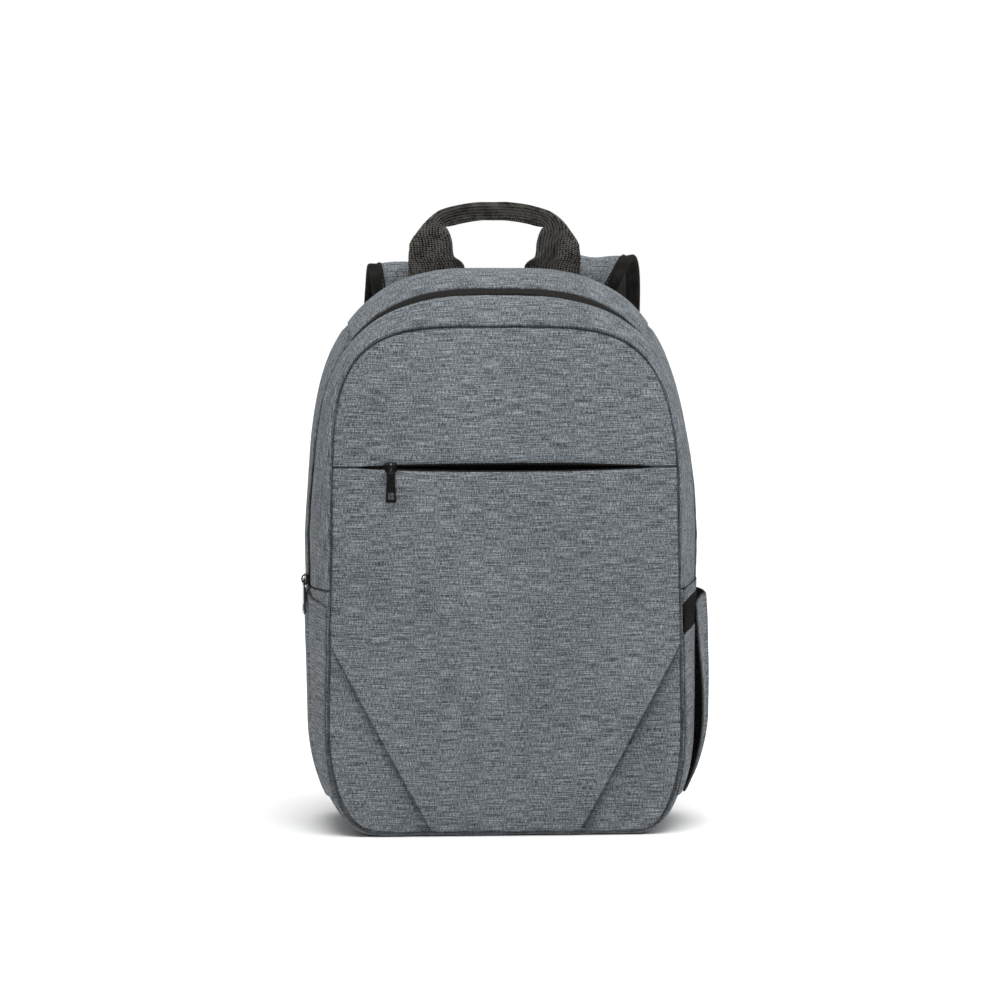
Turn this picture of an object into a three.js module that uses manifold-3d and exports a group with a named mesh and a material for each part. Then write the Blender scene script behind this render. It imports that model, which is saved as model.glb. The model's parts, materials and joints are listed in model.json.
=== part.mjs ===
// A soft laptop backpack standing on its own bottom.
// Millimetres, +Z up, the front faces -Y, the origin is under the middle of the flat bottom.

import * as THREE from 'three';
import { mergeVertices } from 'three/addons/utils/BufferGeometryUtils.js';
import Module from 'manifold-3d';

// Body
const bodyHeight = 430;
const bodyHalfWidth = 151;
const bodyDepth = 116;
const footHalfWidth = 97;
const shoulderHeight = 224;
const cornerRise = 150;
const cornerPower = 2.5;
const leanPower = 1.8;
const frontBulge = 13;
const bulgeAcrossPower = 3.2;
const bulgeUpPower = 3;
const backDome = 5;
const domePower = 3;

// Cloth
const clothWall = 2;
const tapeWall = 1.2;
const backPadding = 8;
const seamGap = 0.3;

// Lines across the body
const sideSplitHeight = 186;
const tuckHeight = 145;
const tuckFootHalfSpan = 56;
const tuckLap = 4;
const tuckClearance = 1;
const slitHeight = 278;
const slitHalfLength = 107;
const slitShift = 5;
const slitGape = 6.6;
const slitLensPower = 0.6;

// Zips
const zipTapeHeight = 7;
const zipTapePeek = 0.7;
const zipTapeClearance = 0.6;
const zipSink = 0.8;
const sliderLength = 9;
const sliderWidth = 7.4;
const sliderThickness = 2.2;
const crownHeight = 3;
const crownLength = 8;
const crownBar = 1.2;
const crownWidth = 1.8;
const pullLength = 27;
const pullWidth = 8;
const pullNeckWidth = 6;
const pullThickness = 1.2;
const pullWindow = 5;
const pullRim = 1.3;
const pullClearance = 0.5;
const frontSliderInset = 16;
const mainSliderRise = 5;
const sliderLift = 0.3;

// Side pockets
const pocketWall = 1.6;
const pocketTopDrop = 11;
const pocketTiltRise = 9;
const pocketBulge = 11.5;
const pocketFloorHeight = 30;
const flatPocketDrop = 5;
const elasticHeight = 23;

// Carry handle
const handleHalfSpan = 67.5;
const handleTop = 482.5;
const handleFoot = 402;
const webbingThickness = 2.2;
const gripThickness = 5;

// Shoulder straps
const strapInset = 77;
const strapSpread = 16;
const strapWidth = 58;
const strapThickness = 9;
const strapTop = 433;
const strapFoot = 200;
const strapReach = 50;
const strapSeatDepth = 2.25;
const bindingWidth = 9;
const bindingGap = 0.7;
const lapGap = 0.5;
const adjusterWidth = 38;
const adjusterThickness = 4;
const adjusterBar = 4;
const adjusterSlot = 9;
const adjusterDrop = 1.2;
const adjusterCorner = 0.5;
const lowerWebbingWidth = 25;
const lowerWebbingThickness = 1.6;
const webbingTailGap = 1;
const webbingWrap = 2.8;
const webbingDip = 0.8;
const webbingLead = 2;
const anchorInset = 53;
const anchorWidth = 32;
const anchorBottom = 24;
const anchorHeight = 34;

// The closed outlines that the body's cloth passes through, from the front seam to the back seam.
// width is a share of bodyHalfWidth, top of bodyHeight, low, high and lift of bodyDepth.
// low is the depth of the sides, high that of the top of the arch, and power squares the arch.
const rings = [
  { name: 'frontSeam', width: 0.868, flare: 0.045, top: 0.892, power: 4.0, low: -0.5, high: -0.3, lift: 0.043 },
  { name: 'frontTurn', width: 0.905, flare: 0.025, top: 0.912, power: 3.7, low: -0.425, high: -0.25, lift: 0 },
  { name: 'frontSide', width: 0.955, flare: -0.01, top: 0.938, power: 3.2, low: -0.3, high: -0.18, lift: 0 },
  { name: 'zipFront', width: 0.981, flare: -0.035, top: 0.953, power: 2.75, low: -0.155, high: -0.105, lift: 0 },
  { name: 'zipRear', width: 0.986, flare: -0.037, top: 0.964, power: 2.75, low: -0.13, high: -0.07, lift: 0 },
  { name: 'rearRise', width: 0.997, flare: -0.04, top: 0.988, power: 2.9, low: 0, high: 0.05, lift: 0 },
  { name: 'crest', width: 1, flare: -0.04, top: 1, power: 3.0, low: 0.13, high: 0.18, lift: 0 },
  { name: 'rearSide', width: 0.985, flare: -0.035, top: 0.997, power: 3.0, low: 0.32, high: 0.32, lift: 0 },
  { name: 'rearTurn', width: 0.962, flare: -0.03, top: 0.988, power: 3.1, low: 0.43, high: 0.41, lift: 0 },
  { name: 'backSeam', width: 0.93, flare: -0.025, top: 0.972, power: 3.2, low: 0.49, high: 0.46, lift: 0.043 },
];
const ringIndex = Object.fromEntries(rings.map((ring, i) => [ring.name, i]));

// How many steps each stretch of an outline is divided into
const footSteps = 4;
const lowSteps = 7;
const tuckSteps = 2;
const sideSteps = 4;
const upperSteps = 4;
const archSteps = 8;
const lowEase = 2.2;
const archBendHeight = 190;

const materials = {
  cloth: { color: 0x757c83, roughness: 0.92, metalness: 0 },
  darkCloth: { color: 0x23211f, roughness: 0.95, metalness: 0 },
  webbing: { color: 0x2b2826, roughness: 0.88, metalness: 0 },
  blackMetal: { color: 0x111214, roughness: 0.28, metalness: 0.8 },
  plastic: { color: 0x17181a, roughness: 0.5, metalness: 0 },
};

const backpack = new THREE.Group();

function addPiece(name, geometry, look) {
  const mesh = new THREE.Mesh(geometry, new THREE.MeshStandardMaterial(materials[look]));
  mesh.name = name;
  backpack.add(mesh);
  return mesh;
}

// Faces and edges smaller than this are left out or joined
const leastArea = 1e-5;
const weldDistance = 1e-4;

// A closed body between two grids of points with the same rows and columns
function slab(outer, inner) {
  const rows = outer.length;
  const columns = outer[0].length;
  const corners = [];
  const face = (a, b, c) => {
    const area = new THREE.Triangle(a, b, c).getArea();
    if (area > leastArea) corners.push(a, b, c);
  };
  const quad = (a, b, c, d) => {
    face(a, b, c);
    face(a, c, d);
  };
  for (let i = 0; i + 1 < rows; i++) {
    for (let j = 0; j + 1 < columns; j++) {
      quad(outer[i][j], outer[i][j + 1], outer[i + 1][j + 1], outer[i + 1][j]);
      quad(inner[i][j], inner[i + 1][j], inner[i + 1][j + 1], inner[i][j + 1]);
    }
  }
  for (let j = 0; j + 1 < columns; j++) {
    quad(outer[0][j + 1], outer[0][j], inner[0][j], inner[0][j + 1]);
    quad(outer[rows - 1][j], outer[rows - 1][j + 1], inner[rows - 1][j + 1], inner[rows - 1][j]);
  }
  for (let i = 0; i + 1 < rows; i++) {
    quad(outer[i][0], outer[i + 1][0], inner[i + 1][0], inner[i][0]);
    quad(outer[i + 1][columns - 1], outer[i][columns - 1], inner[i][columns - 1], inner[i + 1][columns - 1]);
  }
  return facingOut(corners);
}

// Turns a triangle soup the right way round, by the sign of its volume
function facingOut(corners) {
  let volume = 0;
  const cross = new THREE.Vector3();
  for (let k = 0; k < corners.length; k += 3) {
    volume += corners[k].dot(cross.crossVectors(corners[k + 1], corners[k + 2]));
  }
  if (volume < 0) corners.reverse();
  const geometry = new THREE.BufferGeometry().setFromPoints(corners);
  geometry.computeVertexNormals();
  return geometry;
}

// Outlines of the body

function ringSizes(ring) {
  return {
    half: bodyHalfWidth * ring.width,
    top: bodyHeight * ring.top,
    lift: bodyDepth * ring.lift,
    rise: bodyHeight * ring.top - shoulderHeight,
  };
}

function halfWidthAt(ring, z) {
  const { half, lift, rise } = ringSizes(ring);
  if (z > shoulderHeight) {
    const up = Math.min(1, (z - shoulderHeight) / rise);
    return half * (1 - up ** ring.power) ** (1 / ring.power);
  }
  const flared = half * (1 + ring.flare * (1 - z / shoulderHeight));
  const down = Math.max(0, 1 - (z - lift) / cornerRise);
  const round = Math.min(1, down) ** cornerPower;
  return footHalfWidth + (flared - footHalfWidth) * (1 - round) ** (1 / cornerPower);
}

function archHeightAt(ring, x) {
  const { half, rise } = ringSizes(ring);
  return shoulderHeight + rise * (1 - Math.min(1, x / half) ** ring.power) ** (1 / ring.power);
}

function depthAt(ring, z) {
  const { top } = ringSizes(ring);
  const lean = Math.max(0, (z - archBendHeight) / (top - archBendHeight));
  return bodyDepth * (ring.low + (ring.high - ring.low) * lean ** leanPower);
}

function archCorner(ring) {
  const { half, rise } = ringSizes(ring);
  const share = 0.5 ** (1 / ring.power);
  return { x: half * share, z: shoulderHeight + rise * share };
}

// Stations along half of an outline, from the middle of the bottom to the middle of the arch
const stations = [];
function addStretch(kind, steps, from, to, ease = 1) {
  for (let k = stations.length ? 1 : 0; k <= steps; k++) {
    stations.push({ kind, share: from + (to - from) * (k / steps) ** ease });
  }
}
addStretch('foot', footSteps, 0, 1);
const footEnd = stations.length - 1;
addStretch('low', lowSteps, 0, tuckHeight, lowEase);
const tuckStation = stations.length - 1;
addStretch('low', tuckSteps, tuckHeight, sideSplitHeight);
const splitStation = stations.length - 1;
const frontCorner = archCorner(rings[ringIndex.frontSeam]);
addStretch('high', sideSteps, 0, (slitHeight - sideSplitHeight) / (frontCorner.z - sideSplitHeight));
const slitStation = stations.length - 1;
addStretch('high', upperSteps, (slitHeight - sideSplitHeight) / (frontCorner.z - sideSplitHeight), 1);
const cornerStation = stations.length - 1;
addStretch('arch', archSteps, 0, 1);
const archStation = stations.length - 1;

function planePoint(ring, station) {
  const { kind, share } = stations[station];
  const { lift } = ringSizes(ring);
  if (kind === 'foot') return new THREE.Vector2(footHalfWidth * share, lift);
  if (kind === 'low') {
    const z = lift + share * (1 - lift / sideSplitHeight);
    return new THREE.Vector2(halfWidthAt(ring, z), z);
  }
  const corner = archCorner(ring);
  if (kind === 'high') {
    const z = sideSplitHeight + share * (corner.z - sideSplitHeight);
    return new THREE.Vector2(halfWidthAt(ring, z), z);
  }
  const x = corner.x * (1 - share);
  return new THREE.Vector2(x, archHeightAt(ring, x));
}

// Outward direction of an outline at a station, in the plane of the outline
function planeNormal(ring, station) {
  const mirrored = (k) => {
    if (k < 0) return planePoint(ring, -k).multiply(new THREE.Vector2(-1, 1));
    if (k > archStation) return planePoint(ring, 2 * archStation - k).multiply(new THREE.Vector2(-1, 1));
    return planePoint(ring, k);
  };
  const here = mirrored(station);
  const before = here.clone().sub(mirrored(station - 1)).normalize();
  const after = mirrored(station + 1).sub(here).normalize();
  const along = before.add(after).normalize();
  return new THREE.Vector2(along.y, -along.x);
}

// Point of the body's skin, moved out of the cloth by outset. Negative stations lie on the left side.
function skinPoint(ring, station, outset) {
  const side = Math.sign(station) || 1;
  const k = Math.abs(station);
  const flat = planePoint(ring, k).add(planeNormal(ring, k).multiplyScalar(outset));
  const { kind } = stations[k];
  const z = kind === 'foot' ? 0 : planePoint(ring, k).y;
  return new THREE.Vector3(side * flat.x, depthAt(ring, z), flat.y);
}

// Moves the four borders of a grid inwards by half a seam gap
function trimmed(grid, gap = seamGap / 2) {
  const toward = (a, b) => a.lerp(b, gap / Math.max(gap, a.distanceTo(b)));
  const rows = grid.length;
  const columns = grid[0].length;
  for (let j = 0; j < columns; j++) {
    toward(grid[0][j], grid[1][j].clone());
    toward(grid[rows - 1][j], grid[rows - 2][j].clone());
  }
  for (let i = 0; i < rows; i++) {
    toward(grid[i][0], grid[i][1].clone());
    toward(grid[i][columns - 1], grid[i][columns - 2].clone());
  }
  return grid;
}

// Cloth of the body between two outlines and two stations
function bandPiece({ from, to, stationList, outset = 0, wall = clothWall }) {
  const grid = (offset) => trimmed(
    rings.slice(ringIndex[from], ringIndex[to] + 1).map((ring) => stationList.map((k) => skinPoint(ring, k, offset))),
  );
  return slab(grid(outset), grid(outset - wall));
}

const stationsBetween = (from, to) => Array.from({ length: to - from + 1 }, (_, n) => from + n);

// The stations of the arch run from the left split over the top to the right split
const archList = [
  ...stationsBetween(splitStation, archStation).map((k) => -k),
  ...stationsBetween(splitStation, archStation - 1).reverse(),
];
const front = { from: 'frontSeam', to: 'zipFront', stationList: archList };
const zip = { from: 'zipFront', to: 'zipRear', stationList: archList, outset: -zipSink, wall: tapeWall };
const rear = { from: 'zipRear', to: 'backSeam', stationList: archList };
addPiece('front_gusset', bandPiece(front), 'cloth');
addPiece('main_zip', bandPiece(zip), 'darkCloth');
addPiece('rear_gusset', bandPiece(rear), 'cloth');

for (const [name, stationList] of [
  ['base_panel', stationsBetween(-footEnd, footEnd)],
  ['side_panel_left', stationsBetween(-splitStation, -footEnd)],
  ['side_panel_right', stationsBetween(footEnd, splitStation)],
]) {
  addPiece(name, bandPiece({ from: 'frontSeam', to: 'backSeam', stationList }), 'cloth');
}

// Panels that close the front and the back, set inside the rim of the body's cloth

const rimInset = clothWall + seamGap;

function rimPoint(ring, station) {
  return skinPoint(ring, station, -rimInset);
}

// A row of points straight across the panel, or bent up to the arch
const panelColumns = 2 * archSteps;
function panelRows(ring, stationFrom, stationTo) {
  const rows = [];
  for (let k = stationFrom; k <= Math.min(stationTo, cornerStation); k++) {
    const edge = rimPoint(ring, k);
    const row = [];
    for (let j = 0; j <= panelColumns; j++) {
      row.push(new THREE.Vector3(edge.x * (2 * j / panelColumns - 1), edge.y, edge.z));
    }
    rows.push(row);
  }
  if (stationTo > cornerStation) {
    const line = rows[rows.length - 1];
    const arch = line.map((_, j) => rimPoint(ring, j <= archSteps ? -(cornerStation + j) : archStation + archSteps - j));
    for (const share of [1 / 2, 1]) {
      rows.push(line.map((point, j) => point.clone().lerp(arch[j], share)));
    }
  }
  return rows;
}

// How far the front stands out of its seam, by the shares across and up
function frontBulgeAt(x, z) {
  const ring = rings[ringIndex.frontSeam];
  const { top, lift } = ringSizes(ring);
  const up = THREE.MathUtils.clamp((z - lift) / (top - lift), 0, 1);
  const wide = halfWidthAt(ring, Math.min(z, top - clothWall)) || 1;
  const across = Math.min(1, Math.abs(x) / wide);
  return frontBulge * (1 - across ** bulgeAcrossPower) * (1 - Math.abs(2 * up - 1) ** bulgeUpPower);
}

// Gives a flat grid its bulge and its thickness, both along the depth
function panel(grid, wall, bulge, recess = () => 0) {
  const outer = grid.map((row) => row.map((p) => new THREE.Vector3(p.x, p.y + bulge(p) + recess(p), p.z)));
  const inner = outer.map((row) => row.map((p) => new THREE.Vector3(p.x, p.y + wall, p.z)));
  return slab(outer, inner);
}

// The slit's lips part along a lens between its two ends
function slitOpening(x) {
  const share = (x - slitShift) / slitHalfLength;
  return Math.abs(share) < 1 ? (slitGape / 2) * (1 - share ** 2) ** slitLensPower : 0;
}

const frontRing = rings[ringIndex.frontSeam];
const frontOut = (p) => -frontBulgeAt(p.x, p.z);

function frontUpperGrid() {
  const grid = panelRows(frontRing, slitStation, archStation);
  grid[0].forEach((p) => {
    p.z += Math.max(slitOpening(p.x), seamGap / 2);
  });
  return grid;
}

// Half of the lower front's width at a height: the side seam, and below the tuck its diagonal
function tuckEdge(z) {
  const { lift } = ringSizes(frontRing);
  const tuckTop = planePoint(frontRing, tuckStation);
  const share = THREE.MathUtils.clamp((z - lift) / (tuckTop.y - lift), 0, 1);
  return THREE.MathUtils.lerp(tuckFootHalfSpan, tuckTop.x - rimInset, share);
}

function frontLowerGrid() {
  const rows = panelRows(frontRing, footEnd, slitStation);
  rows.forEach((row, i) => {
    const half = row[panelColumns].x;
    const narrow = Math.min(half, tuckEdge(row[0].z));
    row.forEach((p) => {
      p.x *= narrow / half;
      if (i === rows.length - 1) p.z -= Math.max(slitOpening(p.x), seamGap / 2);
    });
  });
  return rows;
}

addPiece('front_panel_upper', panel(frontUpperGrid(), clothWall, frontOut), 'cloth');
addPiece('front_panel_lower', panel(frontLowerGrid(), clothWall, frontOut), 'cloth');

// Corner cloth, tucked under the lower front along the diagonal
const cornerColumns = 5;
const tuckStep = clothWall + tuckClearance;
function cornerGrid(side) {
  const rows = [];
  for (let k = footEnd; k <= tuckStation; k++) {
    const edge = rimPoint(frontRing, k);
    const start = tuckEdge(edge.z) - tuckLap;
    const row = [];
    for (let j = 0; j <= cornerColumns; j++) {
      row.push(new THREE.Vector3(side * THREE.MathUtils.lerp(start, edge.x, j / cornerColumns), edge.y, edge.z));
    }
    rows.push(row);
  }
  return rows;
}
for (const [side, name] of [[-1, 'corner_panel_left'], [1, 'corner_panel_right']]) {
  addPiece(name, panel(cornerGrid(side), clothWall, frontOut, () => tuckStep), 'cloth');
}

// Back wall of the front pocket, across the first turn of the gusset
addPiece('front_pocket_back', panel(
  panelRows(rings[ringIndex.frontTurn], footEnd + 1, archStation), tapeWall, () => 0,
), 'darkCloth');

// Padded back
function backDomeAt(p) {
  const ring = rings[ringIndex.backSeam];
  const up = THREE.MathUtils.clamp(p.z / ringSizes(ring).top, 0, 1);
  const across = Math.min(1, Math.abs(p.x) / ringSizes(ring).half);
  return backDome * (1 - across ** domePower) * (1 - Math.abs(2 * up - 1) ** domePower);
}
addPiece('back_panel', panel(
  panelRows(rings[ringIndex.backSeam], footEnd, archStation), -backPadding, backDomeAt,
), 'cloth');

// Any point of the body's skin, by its place between the outlines, its height on the side and its outset
const stationHeights = stations.map((station, k) => planePoint(frontRing, k).y);
function stationAtHeight(z) {
  let k = footEnd;
  while (k + 1 < cornerStation && stationHeights[k + 1] < z) k++;
  return k + (z - stationHeights[k]) / (stationHeights[k + 1] - stationHeights[k]);
}

// Both ends of a stretch, with the body's own rows or outlines between them
const heightsBetween = (from, to) => [
  from, ...stationHeights.slice(footEnd, cornerStation).filter((z) => z > from && z < to), to,
];
const placesBetween = (from, to) => [from, ...rings.map((ring, i) => i).filter((i) => i > from && i < to), to];

function sidePoint(ringPlace, z, side, outset) {
  const station = stationAtHeight(z);
  const i = Math.min(rings.length - 2, Math.floor(ringPlace));
  const k = Math.floor(station);
  const corner = (ring, at) => skinPoint(rings[ring], side * at, outset);
  const front = corner(i, k).lerp(corner(i, k + 1), station - k);
  const rear = corner(i + 1, k).lerp(corner(i + 1, k + 1), station - k);
  return front.lerp(rear, ringPlace - i);
}

// A layer on the side of the body: a row of places between the outlines by a column of heights
function sideLayer({ side, places, heights, outset, wall }) {
  // The left side runs downwards, as its panel does, so that both split their squares the same way
  const ordered = (column) => (side < 0 ? column.reverse() : column);
  const grid = (depth) => places.map((place) => (
    ordered(heights(place).map((z, n) => sidePoint(place, z, side, outset(place, n) - depth)))
  ));
  return slab(grid(0), grid(wall));
}

const spread = (from, to, steps) => Array.from({ length: steps + 1 }, (_, n) => from + (to - from) * n / steps);
const backPlace = ringIndex.backSeam;
const layerOut = pocketWall + seamGap;
const sewnEdge = 0.1;

// Flat pocket on the left
addPiece('side_pocket_left', sideLayer({
  side: -1,
  places: placesBetween(sewnEdge, backPlace - sewnEdge),
  heights: () => heightsBetween(pocketFloorHeight, sideSplitHeight - flatPocketDrop),
  outset: () => layerOut,
  wall: pocketWall,
}), 'cloth');

// Bulging pocket on the right: its pleat, elastic and hem lie on the side, its wall stands off behind them
const pleatRear = 2.4;
const pocketTop = sideSplitHeight - pocketTopDrop;
const topAt = (place) => pocketTop + pocketTiltRise * Math.min(1, place / pleatRear);
const elasticTop = (place) => topAt(place) - seamGap;
const elasticFoot = (place) => topAt(place) - elasticHeight;
const frontStrip = {
  side: 1, places: placesBetween(sewnEdge, pleatRear), outset: () => layerOut, wall: pocketWall,
};
addPiece('side_pleat_right', sideLayer({
  ...frontStrip,
  heights: (place) => [...heightsBetween(pocketFloorHeight, tuckHeight), elasticFoot(place) - seamGap],
}), 'cloth');
addPiece('side_elastic_right', sideLayer({
  ...frontStrip, heights: (place) => spread(elasticFoot(place), elasticTop(place), 2),
}), 'webbing');
addPiece('side_hem_right', sideLayer({
  ...frontStrip, heights: (place) => spread(topAt(place), topAt(place) + pocketTiltRise, 1),
}), 'cloth');

// How far the pocket's wall stands off, as a share of its bulge, from its front edge back and from its floor up
const wallFront = 1.8;
const wallRear = backPlace - sewnEdge;
const wallAcross = [
  { at: wallFront, share: 0.78 },
  { at: ringIndex.frontSide, share: 0.84 },
  { at: ringIndex.zipRear, share: 1 },
  { at: ringIndex.crest, share: 0.98 },
  { at: ringIndex.rearSide, share: 0.78 },
  { at: wallRear, share: 0.1 },
];
const wallUp = [
  { at: 0, share: 0 },
  { at: 0.1, share: 0.52 },
  { at: 0.25, share: 0.8 },
  { at: 0.42, share: 1 },
  { at: 0.65, share: 0.85 },
  { at: 0.86, share: 0.58 },
  { at: 1, share: 0.5 },
];
function tableShare(table, at) {
  const last = table.findIndex((row) => row.at >= at);
  if (last < 0) return table[table.length - 1].share;
  if (last === 0) return table[0].share;
  const [low, high] = [table[last - 1], table[last]];
  return THREE.MathUtils.mapLinear(at, low.at, high.at, low.share, high.share);
}
const wallHeights = heightsBetween(pocketFloorHeight, pocketTop + pocketTiltRise);
addPiece('side_pocket_right', sideLayer({
  side: 1,
  places: placesBetween(wallFront, wallRear),
  heights: () => wallHeights,
  outset: (place, n) => {
    const up = (wallHeights[n] - pocketFloorHeight) / (pocketTop + pocketTiltRise - pocketFloorHeight);
    return 2 * layerOut + pocketBulge * tableShare(wallAcross, place) * tableShare(wallUp, up);
  },
  wall: pocketWall,
}), 'cloth');

// Front of the cloth at any place of the front
function frontY(x, z) {
  return depthAt(frontRing, z) - frontBulgeAt(x, z);
}

// Zip tapes behind the slit's lips
for (const [name, up] of [['front_zip_tape_upper', 1], ['front_zip_tape_lower', -1]]) {
  const xs = spread(slitShift - slitHalfLength, slitShift + slitHalfLength, panelColumns);
  const edge = (x) => Math.max(slitOpening(x) - zipTapePeek, zipTapeClearance / 2);
  const grid = (depth) => [0, 1].map((row) => xs.map((x) => {
    const z = slitHeight + up * (edge(x) + row * zipTapeHeight);
    return new THREE.Vector3(x, frontY(x, z) + clothWall + zipTapeClearance + depth, z);
  }));
  addPiece(name, slab(grid(0), grid(tapeWall)), 'darkCloth');
}

// Sliders and pulls, in a frame of their own: x across, y up, z out of the cloth

function roundedOutline(halfX, halfY, radius) {
  const shape = new THREE.Shape();
  const arc = (x, y, turn) => shape.absarc(x, y, radius, turn, turn + Math.PI / 2);
  arc(halfX - radius, halfY - radius, 0);
  arc(radius - halfX, halfY - radius, Math.PI / 2);
  arc(radius - halfX, radius - halfY, Math.PI);
  arc(halfX - radius, radius - halfY, -Math.PI / 2);
  shape.closePath();
  return shape;
}

const outlineSteps = 3;
function plate(shape, depth) {
  return new THREE.ExtrudeGeometry(shape, { depth, bevelEnabled: false, curveSegments: outlineSteps });
}

const wasm = await Module();
wasm.setup();

function solidOf(geometry) {
  const bare = geometry.clone();
  bare.deleteAttribute('normal');
  bare.deleteAttribute('uv');
  const merged = mergeVertices(bare, weldDistance);
  const mesh = new wasm.Mesh({
    numProp: 3,
    vertProperties: Float32Array.from(merged.attributes.position.array),
    triVerts: Uint32Array.from(merged.index.array),
  });
  return new wasm.Manifold(mesh);
}

function geometryOf(solid) {
  const mesh = solid.getMesh();
  const geometry = new THREE.BufferGeometry();
  geometry.setAttribute('position', new THREE.BufferAttribute(mesh.vertProperties, 3));
  geometry.setIndex(new THREE.BufferAttribute(mesh.triVerts, 1));
  geometry.computeVertexNormals();
  return geometry;
}

// The crown is an arch along y that holds the pull's cross bar against the slider
function sliderGeometry(length, width) {
  const base = plate(roundedOutline(length / 2, width / 2, width / 4), sliderThickness);
  const crown = roundedOutline(crownLength / 2, crownHeight, crownBar);
  const eye = roundedOutline(crownLength / 2 - crownBar, crownHeight - crownBar, crownBar / 2);
  crown.holes.push(eye);
  const arch = plate(crown, crownWidth);
  arch.translate(0, 0, -crownWidth / 2);
  arch.rotateX(Math.PI / 2);
  arch.rotateZ(Math.PI / 2);
  arch.translate(0, 0, sliderThickness);
  const buried = new THREE.BoxGeometry(width * 2, width * 2, crownHeight * 2);
  buried.translate(0, 0, sliderThickness - crownHeight - sliderThickness / 2);
  return geometryOf(solidOf(base).add(solidOf(arch).subtract(solidOf(buried))));
}

const crossBarOut = sliderThickness + (crownHeight - crownBar) / 2;

// The pull hangs from the cross bar at its origin, down along y
function pullGeometry() {
  const shape = new THREE.Shape();
  const bar = pullThickness / 2;
  const neck = pullNeckWidth / 2;
  const foot = pullWidth / 2;
  const shoulder = crownLength / 2 + pullClearance + pullRim;
  shape.moveTo(-neck, bar);
  shape.lineTo(neck, bar);
  shape.lineTo(neck, -shoulder);
  shape.lineTo(foot, bar - pullLength + pullRim);
  shape.lineTo(foot - pullRim, bar - pullLength);
  shape.lineTo(pullRim - foot, bar - pullLength);
  shape.lineTo(-foot, bar - pullLength + pullRim);
  shape.lineTo(-neck, -shoulder);
  shape.closePath();
  const window = (half, top, bottom) => {
    const hole = new THREE.Path();
    hole.moveTo(-half, top);
    hole.lineTo(-half, bottom);
    hole.lineTo(half, bottom);
    hole.lineTo(half, top);
    hole.closePath();
    shape.holes.push(hole);
  };
  window(crownWidth / 2 + pullClearance, -bar, pullRim - shoulder);
  const windowFoot = bar - pullLength + 2 * pullRim;
  window(foot - 2 * pullRim, windowFoot + pullWindow, windowFoot);
  const geometry = plate(shape, pullThickness);
  geometry.translate(0, 0, -pullThickness / 2);
  return geometry;
}

// Frame on the cloth: origin on its face, across, up along it and out of it
function clothFrame(origin, across, up) {
  const out = new THREE.Vector3().crossVectors(across, up).normalize();
  const upward = up.clone().normalize();
  const frame = new THREE.Matrix4().makeBasis(new THREE.Vector3().crossVectors(upward, out), upward, out);
  frame.setPosition(origin.clone().addScaledVector(out, seamGap));
  return frame;
}

const frontSliderX = slitShift - slitHalfLength + frontSliderInset;
const slitMiddle = (z) => new THREE.Vector3(frontSliderX, frontY(frontSliderX, z) - sliderLift, z);
const frontFrame = clothFrame(
  slitMiddle(slitHeight - pullLength / 2),
  new THREE.Vector3(1, 0, 0),
  slitMiddle(slitHeight).sub(slitMiddle(slitHeight - pullLength)),
);
// The slider sits on the slit itself, half a pull's length above the middle of its seat
frontFrame.multiply(new THREE.Matrix4().makeTranslation(0, pullLength / 2, 0));
const mainPlace = (ringIndex.zipFront + ringIndex.zipRear) / 2;
const seatReach = 0.3;
const mainSeat = (place) => sidePoint(place, sideSplitHeight + mainSliderRise, -1, sliderLift);
const mainFrame = clothFrame(
  mainSeat(mainPlace),
  mainSeat(ringIndex.zipFront - seatReach).sub(mainSeat(ringIndex.zipRear + seatReach)),
  new THREE.Vector3(0, 0, 1),
);
for (const [name, frame, length, width] of [
  ['front', frontFrame, sliderLength, sliderWidth],
  ['main', mainFrame, sliderWidth, sliderLength],
]) {
  addPiece(`${name}_slider`, sliderGeometry(length, width), 'blackMetal').applyMatrix4(frame);
  const hung = frame.clone().multiply(new THREE.Matrix4().makeTranslation(0, 0, crossBarOut));
  addPiece(`${name}_pull`, pullGeometry(), 'blackMetal').applyMatrix4(hung);
}

// Bands that run along a path: each section is a closed loop of points
function loft(sections) {
  const count = sections[0].length;
  const corners = [];
  const face = (a, b, c) => corners.push(a, b, c);
  for (let i = 0; i + 1 < sections.length; i++) {
    for (let j = 0; j < count; j++) {
      const next = (j + 1) % count;
      face(sections[i][j], sections[i][next], sections[i + 1][next]);
      face(sections[i][j], sections[i + 1][next], sections[i + 1][j]);
    }
  }
  const last = sections[sections.length - 1];
  for (let j = 1; j + 1 < count; j++) {
    face(sections[0][0], sections[0][j + 1], sections[0][j]);
    face(last[0], last[j], last[j + 1]);
  }
  return facingOut(corners);
}

function backY(x, z) {
  return depthAt(rings[ringIndex.backSeam], z) + backDomeAt({ x, z });
}

// Carry handle: one length of webbing, flat at the legs and folded double at the grip.
// in and out are the inner and outer edge, as shares of the half span and of the rise.
const handleSections = [
  { inX: 0.49, inZ: 0, outX: 1, outZ: 0, thick: 0.44 },
  { inX: 0.49, inZ: 0.46, outX: 1, outZ: 0.46, thick: 0.44 },
  { inX: 0.49, inZ: 0.62, outX: 0.965, outZ: 0.6, thick: 0.5 },
  { inX: 0.53, inZ: 0.71, outX: 0.84, outZ: 0.74, thick: 0.62 },
  { inX: 0.58, inZ: 0.76, outX: 0.68, outZ: 0.9, thick: 0.9 },
  { inX: 0.45, inZ: 0.8, outX: 0.47, outZ: 0.965, thick: 1 },
  { inX: 0.18, inZ: 0.83, outX: 0.185, outZ: 0.995, thick: 1 },
];
const handleFront = backY(handleHalfSpan * handleSections[0].inX, handleFoot) + lapGap;
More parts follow.
